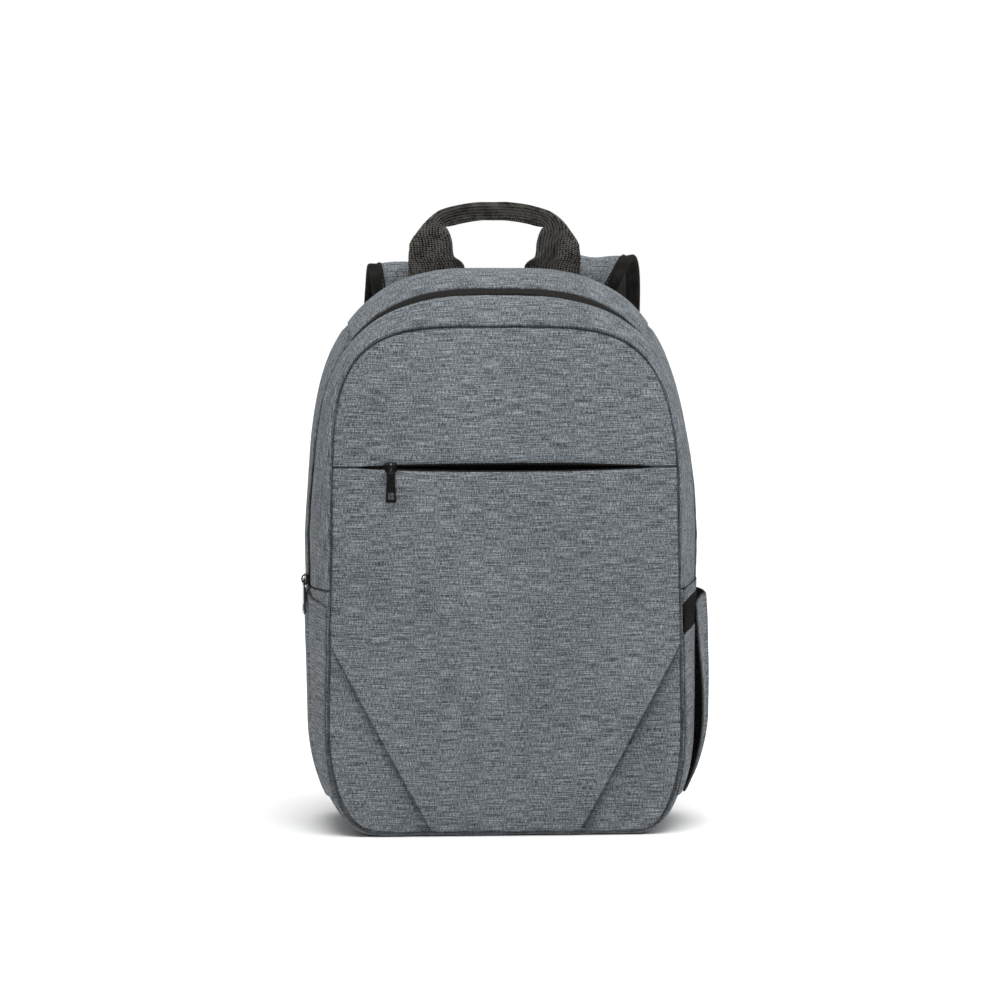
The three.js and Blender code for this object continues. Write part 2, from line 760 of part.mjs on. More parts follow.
function handleSection({ inX, inZ, outX, outZ, thick }, side) {
  const rise = handleTop - handleFoot;
  const at = (x, z, y) => new THREE.Vector3(side * handleHalfSpan * x, handleFront + y, handleFoot + rise * z);
  const depth = gripThickness * thick;
  return [at(inX, inZ, 0), at(outX, outZ, 0), at(outX, outZ, depth), at(inX, inZ, depth)];
}
addPiece('handle_webbing', loft([
  ...handleSections.map((row) => handleSection(row, -1)),
  ...handleSections.map((row) => handleSection(row, 1)).reverse(),
]), 'webbing');

const anchorX = bodyHalfWidth - anchorInset;

// Shoulder straps. up is a share of the rise from the foot to the top, back of the reach,
// out of the spread, wide and thick of the strap's width and thickness.
const strapRows = [
  { up: 0.74, back: 0, out: 0, wide: 0.94, thick: 0.3 },
  { up: 0.84, back: 0.07, out: 0, wide: 1, thick: 0.45 },
  { up: 0.925, back: 0.085, out: 0.02, wide: 1, thick: 0.6 },
  { up: 0.975, back: 0.12, out: 0.08, wide: 1, thick: 0.8 },
  { up: 1, back: 0.28, out: 0.16, wide: 1, thick: 1 },
  { up: 0.985, back: 0.5, out: 0.24, wide: 1, thick: 1 },
  { up: 0.92, back: 0.74, out: 0.36, wide: 1, thick: 1 },
  { up: 0.8, back: 0.92, out: 0.5, wide: 1, thick: 1 },
  { up: 0.6, back: 1, out: 0.7, wide: 1, thick: 1 },
  { up: 0.38, back: 0.96, out: 0.86, wide: 0.96, thick: 1 },
  { up: 0.18, back: 0.84, out: 0.95, wide: 0.86, thick: 1 },
  { up: 0, back: 0.7, out: 1, wide: 0.72, thick: 0.7 },
];
const strapFront = handleFront + webbingThickness + lapGap;
function strapPath(side) {
  return strapRows.map(({ up, back, out }) => new THREE.Vector3(
    side * (bodyHalfWidth - strapInset + strapSpread * out),
    strapFront + strapSeatDepth + strapReach * back,
    strapFoot + (strapTop - strapFoot) * up,
  ));
}

// Sections across a path, between two edges that are measured from its middle
function bandSections(path, edges, thickness) {
  return path.map((point, i) => {
    const before = path[Math.max(0, i - 1)];
    const after = path[Math.min(path.length - 1, i + 1)];
    const along = after.clone().sub(before).normalize();
    const across = new THREE.Vector3(1, 0, 0).addScaledVector(along, -along.x).normalize();
    const out = new THREE.Vector3().crossVectors(along, across);
    const at = (wide, deep) => point.clone().addScaledVector(across, wide).addScaledVector(out, deep);
    const [low, high] = edges(i);
    const half = thickness(i) / 2;
    return [at(low, -half), at(high, -half), at(high, half), at(low, half)];
  });
}

// A strap's foot holds the adjuster, and the webbing runs from there down to the tab on the back
const adjusterHeight = 2 * (adjusterSlot + adjusterBar) + adjusterBar;

function adjusterGeometry() {
  const shape = roundedOutline(adjusterWidth / 2, adjusterHeight / 2, adjusterBar / 2);
  for (const up of [-1, 1]) {
    const slot = roundedOutline(adjusterWidth / 2 - adjusterBar, adjusterSlot / 2, adjusterCorner);
    const shift = up * (adjusterSlot + adjusterBar) / 2;
    const hole = new THREE.Path(slot.getPoints(1).map((p) => new THREE.Vector2(p.x, p.y + shift)));
    shape.holes.push(hole);
  }
  const frame = plate(shape, adjusterThickness);
  frame.translate(0, 0, -adjusterThickness / 2);
  return frame;
}

// The webbing passes under the frame's lower bar and over its middle bar
const bendOut = (adjusterThickness + lowerWebbingThickness) / 2 + lapGap;
const webbingBends = [
  { up: adjusterBar / 2 + adjusterSlot - webbingTailGap, out: bendOut },
  { up: -webbingWrap, out: bendOut },
  { up: -adjusterBar / 2 - adjusterSlot + webbingDip, out: -bendOut },
  { up: -adjusterHeight / 2 - webbingLead, out: -bendOut },
];

function lowerStrap(side, name, foot) {
  const lapX = anchorX - lowerWebbingWidth / 2;
  const lapAt = (z) => new THREE.Vector3(
    side * anchorX, backY(lapX, z) + 2 * lapGap + clothWall + lowerWebbingThickness / 2, z,
  );
  const anchorTop = anchorBottom + anchorHeight;
  const lap = [lapAt(anchorTop + lapGap), lapAt(anchorBottom + anchorHeight / 2)];
  const up = foot.clone().sub(lap[0]).normalize();
  const across = new THREE.Vector3(-1, 0, 0).addScaledVector(up, up.x).normalize();
  const out = new THREE.Vector3().crossVectors(across, up);
  const middle = foot.clone().addScaledVector(up, -adjusterHeight / 2 - adjusterDrop);
  const frame = new THREE.Matrix4().makeBasis(across, up, out).setPosition(middle);
  addPiece(`strap_adjuster_${name}`, adjusterGeometry(), 'plastic').applyMatrix4(frame);
  const route = webbingBends.map((bend) => new THREE.Vector3(0, bend.up, bend.out).applyMatrix4(frame));
  const halfWebbing = lowerWebbingWidth / 2;
  addPiece(`lower_webbing_${name}`, loft(bandSections(
    [...route, ...lap], () => [-halfWebbing, halfWebbing], () => lowerWebbingThickness,
  )), 'webbing');
  const tab = spread(anchorBottom, anchorTop, 2).map((z) => (
    spread(anchorX - anchorWidth / 2, anchorX + anchorWidth / 2, 2).map((x) => (
      new THREE.Vector3(side * x, backY(x, z) + lapGap, z)
    ))
  ));
  addPiece(`strap_anchor_${name}`, panel(tab, clothWall, () => 0), 'cloth');
}

for (const [side, name] of [[-1, 'left'], [1, 'right']]) {
  const path = strapPath(side);
  const half = (i) => strapWidth * strapRows[i].wide / 2;
  const thick = (i) => strapThickness * strapRows[i].thick;
  const padHalf = (i) => half(i) - bindingWidth - bindingGap;
  addPiece(`shoulder_strap_${name}`, loft(bandSections(path, (i) => [-padHalf(i), padHalf(i)], thick)), 'cloth');
  const rightEdge = (i) => [half(i) - bindingWidth, half(i)];
  const leftEdge = (i) => [-half(i), bindingWidth - half(i)];
  const [outer, inner] = side > 0 ? [rightEdge, leftEdge] : [leftEdge, rightEdge];
  addPiece(`strap_binding_outer_${name}`, loft(bandSections(path, outer, thick)), 'webbing');
  addPiece(`strap_binding_inner_${name}`, loft(bandSections(path, inner, thick)), 'webbing');
  lowerStrap(side, name, path[path.length - 1]);
}

export default backpack;
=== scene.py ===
import json
import math

import bmesh
import bpy
import numpy as np
from mathutils import Matrix, Vector, noise


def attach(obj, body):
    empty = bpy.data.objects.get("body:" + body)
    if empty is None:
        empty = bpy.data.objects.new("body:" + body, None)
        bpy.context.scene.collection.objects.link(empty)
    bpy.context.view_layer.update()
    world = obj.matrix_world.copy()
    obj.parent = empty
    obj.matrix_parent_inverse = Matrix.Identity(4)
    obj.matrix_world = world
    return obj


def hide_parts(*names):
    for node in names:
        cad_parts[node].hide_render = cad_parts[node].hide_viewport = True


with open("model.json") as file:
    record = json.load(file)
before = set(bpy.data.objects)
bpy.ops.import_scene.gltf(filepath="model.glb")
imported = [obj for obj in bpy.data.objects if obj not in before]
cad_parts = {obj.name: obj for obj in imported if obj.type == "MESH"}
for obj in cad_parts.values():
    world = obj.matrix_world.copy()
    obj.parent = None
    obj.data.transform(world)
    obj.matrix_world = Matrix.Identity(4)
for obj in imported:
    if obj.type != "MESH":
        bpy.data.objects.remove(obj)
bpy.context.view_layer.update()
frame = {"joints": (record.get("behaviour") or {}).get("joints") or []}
bpy.ops.object.select_all(action="DESELECT")
print("frame loaded")

# Camera and studio first

view = dict(distance=2.2, lens=102.3, azimuth=-3.3, elevation=3.4, aim=(0.0, 0.018, 0.2490))


def spherical(azimuth, elevation, distance):
    az, el = math.radians(azimuth), math.radians(elevation)
    return Vector((math.sin(az) * math.cos(el), -math.cos(az) * math.cos(el), math.sin(el))) * distance


def lookAt(thing, place, aim):
    thing.location = place
    thing.rotation_euler = (Vector(aim) - Vector(place)).to_track_quat("-Z", "Y").to_euler()


cameraData = bpy.data.cameras.new("camera")
cameraData.lens = view["lens"]
cameraData.sensor_width = 36
cameraData.clip_end = 60
camera = bpy.data.objects.new("camera", cameraData)
bpy.context.scene.collection.objects.link(camera)
lookAt(camera, Vector(view["aim"]) + spherical(view["azimuth"], view["elevation"], view["distance"]), view["aim"])
bpy.context.scene.camera = camera
bpy.context.scene.view_settings.view_transform = "Standard"

studio = dict(
    skyTop=0.60, skySide=0.17, floorColor=(0.93, 0.93, 0.93), floorSize=90, lightAim=0.2, keyDistance=4,
    # a wide overhead light: azimuth, elevation, strength, angle
    key=(14, 75, 3.05, 48),
    # azimuth, elevation, distance, size, watts
    lights=dict(
        frontFill=(20, 48, 3.2, 2.0, 4),
        rightSide=(80, 34, 2.8, 1.4, 8),
        rearTop=(-160, 50, 2.6, 1.8, 6),
    ),
)


def addLight(name, kind, energy, place, aim):
    data = bpy.data.lights.new(name, kind)
    data.energy = energy
    lamp = bpy.data.objects.new(name, data)
    bpy.context.scene.collection.objects.link(lamp)
    lookAt(lamp, place, aim)
    return data


def makeStudio():
    world = bpy.data.worlds.new("studioSky")
    world.use_nodes = True
    tree = world.node_tree
    # a white backdrop, and a softer light that fades towards the horizon
    ray = tree.nodes.new("ShaderNodeLightPath").outputs["Is Camera Ray"]
    height = tree.nodes.new("ShaderNodeSeparateXYZ")
    tree.links.new(tree.nodes.new("ShaderNodeTexCoord").outputs["Generated"], height.inputs[0])
    glow = tree.nodes.new("ShaderNodeMapRange")
    tree.links.new(height.outputs["Z"], glow.inputs["Value"])
    glow.inputs["To Min"].default_value = studio["skySide"]
    glow.inputs["To Max"].default_value = studio["skyTop"]
    seen = tree.nodes.new("ShaderNodeMath")
    seen.operation = "MAXIMUM"
    tree.links.new(glow.outputs[0], seen.inputs[0])
    tree.links.new(ray, seen.inputs[1])
    tree.links.new(seen.outputs[0], tree.nodes["Background"].inputs["Strength"])
    tree.nodes["Background"].inputs["Color"].default_value = (1, 1, 1, 1)
    bpy.context.scene.world = world
    middle = Vector((0, 0, studio["lightAim"]))
    for name, (azimuth, elevation, distance, size, watts) in studio["lights"].items():
        data = addLight(name, "AREA", watts, middle + spherical(azimuth, elevation, distance), middle)
        data.shape = "DISK"
        data.size = size
    azimuth, elevation, strength, angle = studio["key"]
    key = addLight("keyLight", "SUN", strength, spherical(azimuth, elevation, studio["keyDistance"]), (0, 0, 0))
    key.angle = math.radians(angle)
    bpy.ops.mesh.primitive_plane_add(size=studio["floorSize"], location=(0, 0, 0))
    floor = bpy.context.object
    floor.name = "studioFloor"
    material = bpy.data.materials.new("palePaper")
    material.use_nodes = True
    nodes = material.node_tree.nodes
    nodes["Principled BSDF"].inputs["Base Color"].default_value = (*studio["floorColor"], 1)
    nodes["Principled BSDF"].inputs["Roughness"].default_value = 0.9
    floor.data.materials.append(material)


makeStudio()
print("studio ready")

# Materials: small helpers, then one function per finish


def newMaterial(name, roughness, **sockets):
    material = bpy.data.materials.new(name)
    material.use_nodes = True
    tree = material.node_tree
    shader = tree.nodes["Principled BSDF"]
    shader.inputs["Roughness"].default_value = roughness
    for socket, value in sockets.items():
        shader.inputs[socket.replace("_", " ")].default_value = value
    return material, tree, shader


def addNode(tree, kind, settings=None, **links):
    node = tree.nodes.new(kind)
    for key, value in (settings or {}).items():
        setattr(node, key, value)
    for key, value in links.items():
        numbered = key[0] == "i" and key[1:].isdigit()
        socket = node.inputs[int(key[1:]) if numbered else key.replace("_", " ")]
        if isinstance(value, bpy.types.NodeSocket):
            tree.links.new(value, socket)
        else:
            socket.default_value = value
    return node


def maths(tree, operation, a, b=0.0, c=0.0):
    return addNode(tree, "ShaderNodeMath", dict(operation=operation), i0=a, i1=b, i2=c).outputs[0]


def ramp(tree, factor, stops):
    node = addNode(tree, "ShaderNodeValToRGB", i0=factor)
    elements = node.color_ramp.elements
    while len(elements) < len(stops):
        elements.new(0.5)
    for element, (at, color) in zip(elements, stops):
        element.position = at
        element.color = (*color, 1)
    return node.outputs[0]


def paint(tree, shader, factor, stops):
    tree.links.new(ramp(tree, factor, stops), shader.inputs["Base Color"])


def stretched(tree, source, scale):
    return addNode(tree, "ShaderNodeMapping", Vector=source, Scale=scale).outputs[0]


def flatNoise(tree, vector, detail=2.0, roughness=0.6):
    node = addNode(tree, "ShaderNodeTexNoise", dict(noise_dimensions="2D"),
                   Vector=vector, Scale=1.0, Detail=detail, Roughness=roughness)
    return node.outputs[0]


def bands(tree, vector, direction, scale, distortion=0.0):
    node = addNode(tree, "ShaderNodeTexWave", dict(bands_direction=direction, wave_profile="SIN"),
                   Vector=vector, Scale=scale, Distortion=distortion)
    return node.outputs[1]


def cellPattern(tree, vector, feature):
    node = addNode(tree, "ShaderNodeTexVoronoi", dict(voronoi_dimensions="2D", feature=feature),
                   Vector=vector, Scale=1.0, Randomness=0.25)
    return node.outputs[0]


def solidNoise(tree, place, scale, detail):
    return addNode(tree, "ShaderNodeTexNoise", Vector=place, Scale=scale, Detail=detail).outputs[0]


def clothUv(tree):
    return addNode(tree, "ShaderNodeUVMap", dict(uv_map="cloth")).outputs[0]


def bump(tree, shader, height, distance, strength=1.0):
    node = addNode(tree, "ShaderNodeBump", Height=height, Distance=distance, Strength=strength)
    tree.links.new(node.outputs[0], shader.inputs["Normal"])


melange = dict(
    dark=(0.020, 0.0235, 0.027), middle=(0.116, 0.130, 0.142), light=(0.340, 0.366, 0.388),
    streak=(58, 1600, 1), thread=(1500, 205, 1), speck=(700, 1650, 1), weave=1900,
    cloud=(14, 14, 1), streakShare=1.04, threadShare=0.72, speckShare=0.70, cloudShare=0.10,
    # seam is how strongly painted shade darkens the cloth where the seam attribute is set
    stops=(0.18, 0.5, 0.85), seam=0.66, bump=0.00026,
)


def melangeCloth(name, shade=1.0):
    # Two-tone woven cloth: long weft streaks, shorter warp threads and specks.
    material, tree, shader = newMaterial(name, 0.92, Sheen_Weight=0.03, Sheen_Roughness=0.5, Specular_IOR_Level=0.15)
    uv = clothUv(tree)
    streak = flatNoise(tree, stretched(tree, uv, melange["streak"]), 3.0, 0.62)
    thread = flatNoise(tree, stretched(tree, uv, melange["thread"]), 2.0, 0.58)
    speck = flatNoise(tree, stretched(tree, uv, melange["speck"]), 1.0, 0.6)
    cloud = flatNoise(tree, stretched(tree, uv, melange["cloud"]), 3.0, 0.5)
    total = 0.5
    for part, share in ((streak, "streakShare"), (thread, "threadShare"),
                        (speck, "speckShare"), (cloud, "cloudShare")):
        centred = maths(tree, "SUBTRACT", part, 0.5)
        total = maths(tree, "MULTIPLY_ADD", centred, melange[share], total)
    tones = [tuple(c * shade for c in melange[key]) for key in ("dark", "middle", "light")]
    color = ramp(tree, total, list(zip(melange["stops"], tones)))
    # painted shade: the seam attribute darkens the cloth colour along seams, turned edges, the slit and the corner
    # folds
    seam = addNode(tree, "ShaderNodeAttribute", dict(attribute_name="seam")).outputs["Fac"]
    paintedShadeFactor = maths(tree, "MULTIPLY_ADD", seam, -melange["seam"], 1.0)
    color = addNode(tree, "ShaderNodeVectorMath", dict(operation="SCALE"), i0=color, Scale=paintedShadeFactor).outputs[0]
    tree.links.new(color, shader.inputs["Base Color"])
    weft = bands(tree, uv, "Y", melange["weave"] / 6.0)
    warp = bands(tree, uv, "X", melange["weave"] / 6.0)
    woven = maths(tree, "MULTIPLY", weft, warp)
    height = maths(tree, "MULTIPLY_ADD", woven, 0.35, total)
    bump(tree, shader, height, melange["bump"], 0.6)
    return material


webbingLook = dict(dark=(0.0016, 0.0014, 0.0012), light=(0.135, 0.126, 0.114), knot=430,
                   wander=(90, 90, 1), bump=0.0012)


def wovenWebbing(name, knot=webbingLook["knot"], light=webbingLook["light"], rib=0.0):
    # Coarse woven band: rows of slightly uneven knots.
    material, tree, shader = newMaterial(name, 0.88, Sheen_Weight=0.015, Specular_IOR_Level=0.12)
    uv = clothUv(tree)
    wander = flatNoise(tree, stretched(tree, uv, webbingLook["wander"]), 2.0)
    knots = cellPattern(tree, stretched(tree, uv, (knot * 1.4, knot, 1)), "F1")
    raised = maths(tree, "SUBTRACT", 1.0, knots)
    if rib:
        ribs = bands(tree, uv, "Y", rib)
        raised = maths(tree, "MULTIPLY_ADD", ribs, 0.6, maths(tree, "MULTIPLY", raised, 0.4))
    tone = maths(tree, "MULTIPLY_ADD", maths(tree, "SUBTRACT", wander, 0.5), 0.5, raised)
    paint(tree, shader, tone, [(0.40, webbingLook["dark"]), (0.88, light)])
    bump(tree, shader, raised, webbingLook["bump"], 0.9)
    return material


twill = dict(dark=(0.35, 0.32, 0.28), light=(2.1, 1.85, 1.6), grain=(700, 700, 1), bump=0.0003)


def darkTwill(name, tone, pitch=1400):
    # Zip tape and lining: dark, close and slightly ribbed.
    material, tree, shader = newMaterial(name, 0.86, Sheen_Weight=0.03, Specular_IOR_Level=0.22)
    uv = clothUv(tree)
    diagonal = bands(tree, uv, "DIAGONAL", pitch / 6.0, 0.6)
    grain = flatNoise(tree, stretched(tree, uv, twill["grain"]), 2.0)
    mixed = maths(tree, "MULTIPLY_ADD", grain, 0.6, maths(tree, "MULTIPLY", diagonal, 0.4))
    paint(tree, shader, mixed, [(0.2, [tone * c for c in twill["dark"]]), (0.9, [tone * c for c in twill["light"]])])
    bump(tree, shader, mixed, twill["bump"], 0.7)
    return material


def airMesh(name):
    # Spacer mesh: small open cells over black.
    material, tree, shader = newMaterial(name, 0.8, Sheen_Weight=0.1)
    uv = clothUv(tree)
    cells = cellPattern(tree, stretched(tree, uv, (420, 420, 1)), "DISTANCE_TO_EDGE")
    paint(tree, shader, cells, [(0.05, (0.020, 0.020, 0.021)), (0.25, (0.0025, 0.0025, 0.003))])
    bump(tree, shader, maths(tree, "SUBTRACT", 1.0, cells), 0.0009, 0.8)
    return material


def blackMetal(name):
    # Painted zip metal with a fine grain in its colour and roughness.
    material, tree, shader = newMaterial(name, 0.26, Metallic=0.85, Coat_Weight=0.3)
    place = addNode(tree, "ShaderNodeTexCoord").outputs["Object"]
    grain = solidNoise(tree, place, 1400.0, 3.0)
    paint(tree, shader, grain, [(0.35, (0.006, 0.006, 0.007)), (0.72, (0.028, 0.028, 0.03))])
    tree.links.new(maths(tree, "MULTIPLY_ADD", grain, 0.22, 0.14), shader.inputs["Roughness"])
    bump(tree, shader, grain, 0.00002, 0.4)
    return material


def mouldedPlastic(name):
    # Acetal buckle plastic with a fine spark grain.
    material, tree, shader = newMaterial(name, 0.45)
    place = addNode(tree, "ShaderNodeTexCoord").outputs["Object"]
    grain = solidNoise(tree, place, 2600.0, 2.0)
    patch = solidNoise(tree, place, 120.0, 3.0)
    paint(tree, shader, patch, [(0.3, (0.008, 0.008, 0.009)), (0.75, (0.017, 0.017, 0.018))])
    tree.links.new(maths(tree, "MULTIPLY_ADD", patch, 0.2, 0.36), shader.inputs["Roughness"])
    bump(tree, shader, grain, 0.00005, 0.5)
    return material


looks = dict(
    cloth=melangeCloth("greyMelange"),
    webbing=wovenWebbing("handleWeave"),
    binding=wovenWebbing("bindingWeave", knot=1100, light=(0.032, 0.030, 0.028)),
    elastic=wovenWebbing("elasticRibs", knot=900, light=(0.0085, 0.0080, 0.0070), rib=164.0),
    tape=darkTwill("zipTape", tone=0.009),
    coil=darkTwill("zipCoil", tone=0.014, pitch=900),
    lining=darkTwill("pocketLining", tone=0.010),
    thread=melangeCloth("greyThread", shade=1.1),
    mesh=airMesh("strapMesh"),
    metal=blackMetal("blackMetal"),
    plastic=mouldedPlastic("buckleBlack"),
)
print("materials ready")

# The body's form, as the outlines that its cloth passes through from the front seam to the back seam

form = dict(
    height=0.430, halfWidth=0.151, depth=0.116, footHalf=0.097, shoulder=0.224,
    cornerRise=0.087, cornerPower=2.3, trim=0.019, bend=0.190, leanPower=1.8,
    bulge=0.013, acrossPower=3.2, upPower=3.0, dome=0.005, domePower=3.0,
    wall=0.002, split=0.186, tuck=0.145, tuckFoot=0.056,
    slit=0.278, slitHalf=0.107, slitShift=0.005, gape=0.0066, lensPower=0.6,
)
# width, flare, top, power, low, high, lift
outlines = np.array([
    (0.868, 0.045, 0.892, 4.00, -0.500, -0.300, 0.012),
    (0.905, 0.025, 0.912, 3.70, -0.425, -0.250, 0.000),
    (0.955, -0.010, 0.938, 3.20, -0.300, -0.180, 0.000),
    (0.975, -0.035, 0.9478, 2.75, -0.160, -0.105, 0.000),
    (0.989, -0.037, 0.9586, 2.78, -0.130, -0.070, 0.000),
    (0.997, -0.040, 0.9850, 2.88, 0.000, 0.050, 0.000),
    (1.000, -0.040, 0.9965, 2.90, 0.130, 0.180, 0.000),
    (0.985, -0.035, 0.9940, 2.90, 0.320, 0.320, 0.000),
    (0.962, -0.030, 0.9860, 2.95, 0.430, 0.410, 0.000),
    (0.930, -0.025, 0.972, 3.20, 0.490, 0.460, 0.043),
])
zipFront, zipRear, backSeam = 3, 4, 9
mirror = np.array((-1, 1))


def unit(vectors, least=1e-12):
    # the same directions with a length of 1
    return vectors / np.maximum(np.linalg.norm(vectors, axis=-1, keepdims=True), least)


def curveThrough(rows, place):
    # A smooth curve through rows of numbers, at a place between them.
    i = min(max(int(place), 0), len(rows) - 2)
    t = place - i
    a, b, c, d = (rows[min(max(i + k, 0), len(rows) - 1)] for k in (-1, 0, 1, 2))
    return 0.5 * (2 * b + (c - a) * t + (2 * a - 5 * b + 4 * c - d) * t * t + (3 * b - a - 3 * c + d) * t ** 3)


def ringAt(place):
    width, flare, top, power, low, high, lift = curveThrough(outlines, place)
    return dict(half=form["halfWidth"] * width, flare=flare, top=form["height"] * top, power=power,
                low=low, high=high, lift=max(0.0, form["depth"] * lift), rise=form["height"] * top - form["shoulder"],
                trim=form["trim"] * min(1.0, place / 4))


def halfWidthAt(ring, z):
    if z > form["shoulder"]:
        up = min(1.0, (z - form["shoulder"]) / ring["rise"])
        arch = (1 - up ** ring["power"]) ** (1 / ring["power"])
        return ring["half"] * (arch - ring["trim"] * math.sin(math.pi * up))
    flared = ring["half"] * (1 + ring["flare"] * (1 - z / form["shoulder"]))
    down = min(1.0, max(0.0, 1 - (z - ring["lift"]) / form["cornerRise"])) ** form["cornerPower"]
    return form["footHalf"] + (flared - form["footHalf"]) * (1 - down) ** (1 / form["cornerPower"])


def archHeightAt(ring, x):
    across = min(1.0, abs(x) / ring["half"])
    return form["shoulder"] + ring["rise"] * (1 - across ** ring["power"]) ** (1 / ring["power"])


def depthAt(ring, z):
    lean = max(0.0, (z - form["bend"]) / (ring["top"] - form["bend"]))
    return form["depth"] * (ring["low"] + (ring["high"] - ring["low"]) * min(lean, 1.05) ** form["leanPower"])


def cosineSteps(count, start=True, end=True):
    # Shares from 0 to 1, closer together at the ends that are asked for.
    t = np.linspace(0, 1, count + 1)
    if start and end:
        return 0.5 * (1 - np.cos(math.pi * t))
    if start:
        return 1 - np.cos(math.pi * t / 2)
    return np.sin(math.pi * t / 2)


steps = dict(foot=16, low=64, high=64, arch=84, lowPower=1.25)
footEnd = steps["foot"]
splitAt = footEnd + steps["low"]
cornerAt = splitAt + steps["high"]
archTop = cornerAt + steps["arch"]
outlineCache = {}


def halfOutline(place):
    # x, depth and z from the middle of the bottom to the middle of the arch, and the outward x and z.
    key = round(place, 5)
    if key in outlineCache:
        return outlineCache[key]
    ring = ringAt(place)
    share = 0.5 ** (1 / ring["power"])
    cornerX, cornerZ = ring["half"] * share, form["shoulder"] + ring["rise"] * share
    lift, split = ring["lift"], form["split"]
    flat = [(form["footHalf"] * t, lift) for t in cosineSteps(steps["foot"], False, True)]
    low = lift + (split - lift) * cosineSteps(steps["low"]) ** steps["lowPower"]
    flat += [(halfWidthAt(ring, z), z) for z in low[1:]]
    high = split + (cornerZ - split) * cosineSteps(steps["high"], True, False)
    flat += [(halfWidthAt(ring, z), z) for z in high[1:]]
    flat += [(x, archHeightAt(ring, x)) for x in cornerX * (1 - np.linspace(0, 1, steps["arch"] + 1)[1:])]
    flat = np.array(flat)
    over = flat[:, 1] >= cornerZ - 1e-9
    flat[over, 0] -= ring["half"] * ring["trim"] * np.sin(math.pi * (flat[over, 1] - form["shoulder"]) / ring["rise"])
    flat[-1, 0] = 0
    around = np.vstack([flat[1] * mirror, flat, flat[-2] * mirror])
    spans = unit(np.diff(around, axis=0), 1e-9)
    along = unit(spans[:-1] + spans[1:])
    depths = np.array([depthAt(ring, z) for z in flat[:, 1]])
    outlineCache[key] = np.column_stack([flat[:, 0], depths, flat[:, 1], along[:, 1], -along[:, 0]])
    return outlineCache[key]


def skinGrid(places, columns, outset=0.0):
    # Points of the body's skin: one row per place, columns counted along the outline, negative on the left.
    columns = np.array(columns)
    side = np.where(columns < 0, -1, 1)
    grid = []
    for place in places:
        x, y, z, outX, outZ = halfOutline(place)[np.abs(columns)].T
        grid.append(np.column_stack([side * (x + outset * outX), y, z + outset * outZ]))
    return np.array(grid)


# Cloth helpers: grids of points become closed shells with a wall and a map in metres

soft = dict(broad=0.0011, broadSize=0.095, fine=0.0004, fineSize=0.030, pucker=0.0004, puckerSize=0.0065,
            puckerReach=0.006, lean=-0.0021, leanFrom=0.27, leanRise=0.10, foldStrength=1.5,
            edgeRadius=0.0024, edgeDepth=0.0023)


def dent(point):
    # How far the cloth stands out at a point: broad dents and finer ripples.
    broad = noise.noise(Vector(point) / soft["broadSize"] + Vector((3.1, 7.7, 1.3)))
    fine = noise.noise(Vector(point) / soft["fineSize"] + Vector((9.2, 0.4, 5.8)))
    return soft["broad"] * broad + soft["fine"] * fine


def puckers(points, distance):
    # The cloth gathers slightly along a seam.
    points = np.asarray(points).reshape(-1, 3)
    near = np.exp(-np.ravel(distance) / soft["puckerReach"])
    wave = np.zeros(len(points))
    for k in np.nonzero(near > 0.04)[0]:
        wave[k] = noise.noise(Vector(points[k]) / soft["puckerSize"])
    return (soft["pucker"] * wave * near).reshape(np.shape(distance))


def leanAt(z):
    # The upper part leans a little to one side.
    t = np.clip((z - soft["leanFrom"]) / soft["leanRise"], 0, 1)
    return soft["lean"] * t * t * (3 - 2 * t)


def gridNormals(grid):
    along = np.gradient(grid, axis=1)
    down = np.gradient(grid, axis=0)
    return unit(np.cross(along, down))


def gridLengths(grid):
    # Lengths along the rows and down the columns, in metres.
    across = np.zeros(grid.shape[:2])
    across[:, 1:] = np.cumsum(np.linalg.norm(np.diff(grid, axis=1), axis=2), axis=1)
    down = np.zeros(grid.shape[:2])
    down[1:] = np.cumsum(np.linalg.norm(np.diff(grid, axis=0), axis=2), axis=0)
    return across, down


def metricMap(grid):
    # The cloth map, in metres from the middle column.
    across, down = gridLengths(grid)
    return np.dstack([across - across[:, [grid.shape[1] // 2]], down])


def rolled(distance, radius, depth):
    # How far a turned edge sinks at a distance from its border.
    inside = np.clip(1 - distance / radius, 0, 1)
    return depth * (1 - np.sqrt(1 - inside ** 2))


def edgeDistances(grid):
    # Distances to the first and last row and to the first and last column.
    across, down = gridLengths(grid)
    return down, down[[-1]] - down, across, across[:, [-1]] - across


def paintedSeamShade(distance, reach=0.0009):
    # How strongly painted shade darkens the cloth at a distance from a seam, edge or fold.
    return np.exp(-(distance / reach) ** 2)


def meshPiece(name, points, faces, maps, look, shade=None):
    mesh = bpy.data.meshes.new(name)
    points = np.array(points, float)
    points[:, 0] += leanAt(points[:, 2])
    mesh.from_pydata([tuple(p) for p in points], [], [tuple(f) for f in faces])
    layer = mesh.uv_layers.new(name="cloth")
    vertexOf = np.zeros(len(mesh.loops), np.int32)
    mesh.loops.foreach_get("vertex_index", vertexOf)
    layer.data.foreach_set("uv", np.asarray(maps, np.float32)[vertexOf].ravel())
    # the seam attribute carries painted shade for the cloth's colour
    if shade is not None:
        seam = mesh.attributes.new("seam", "FLOAT", "POINT")
        seam.data.foreach_set("value", np.asarray(shade, np.float32).ravel())
    work = bmesh.new()
    work.from_mesh(mesh)
    bmesh.ops.remove_doubles(work, verts=work.verts, dist=1e-6)
    bmesh.ops.recalc_face_normals(work, faces=work.faces)
    work.to_mesh(mesh)
    work.free()
    mesh.polygons.foreach_set("use_smooth", [True] * len(mesh.polygons))
    piece = bpy.data.objects.new(name, mesh)
    bpy.context.scene.collection.objects.link(piece)
    mesh.materials.append(looks[look])
    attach(piece, "bag")
    return piece


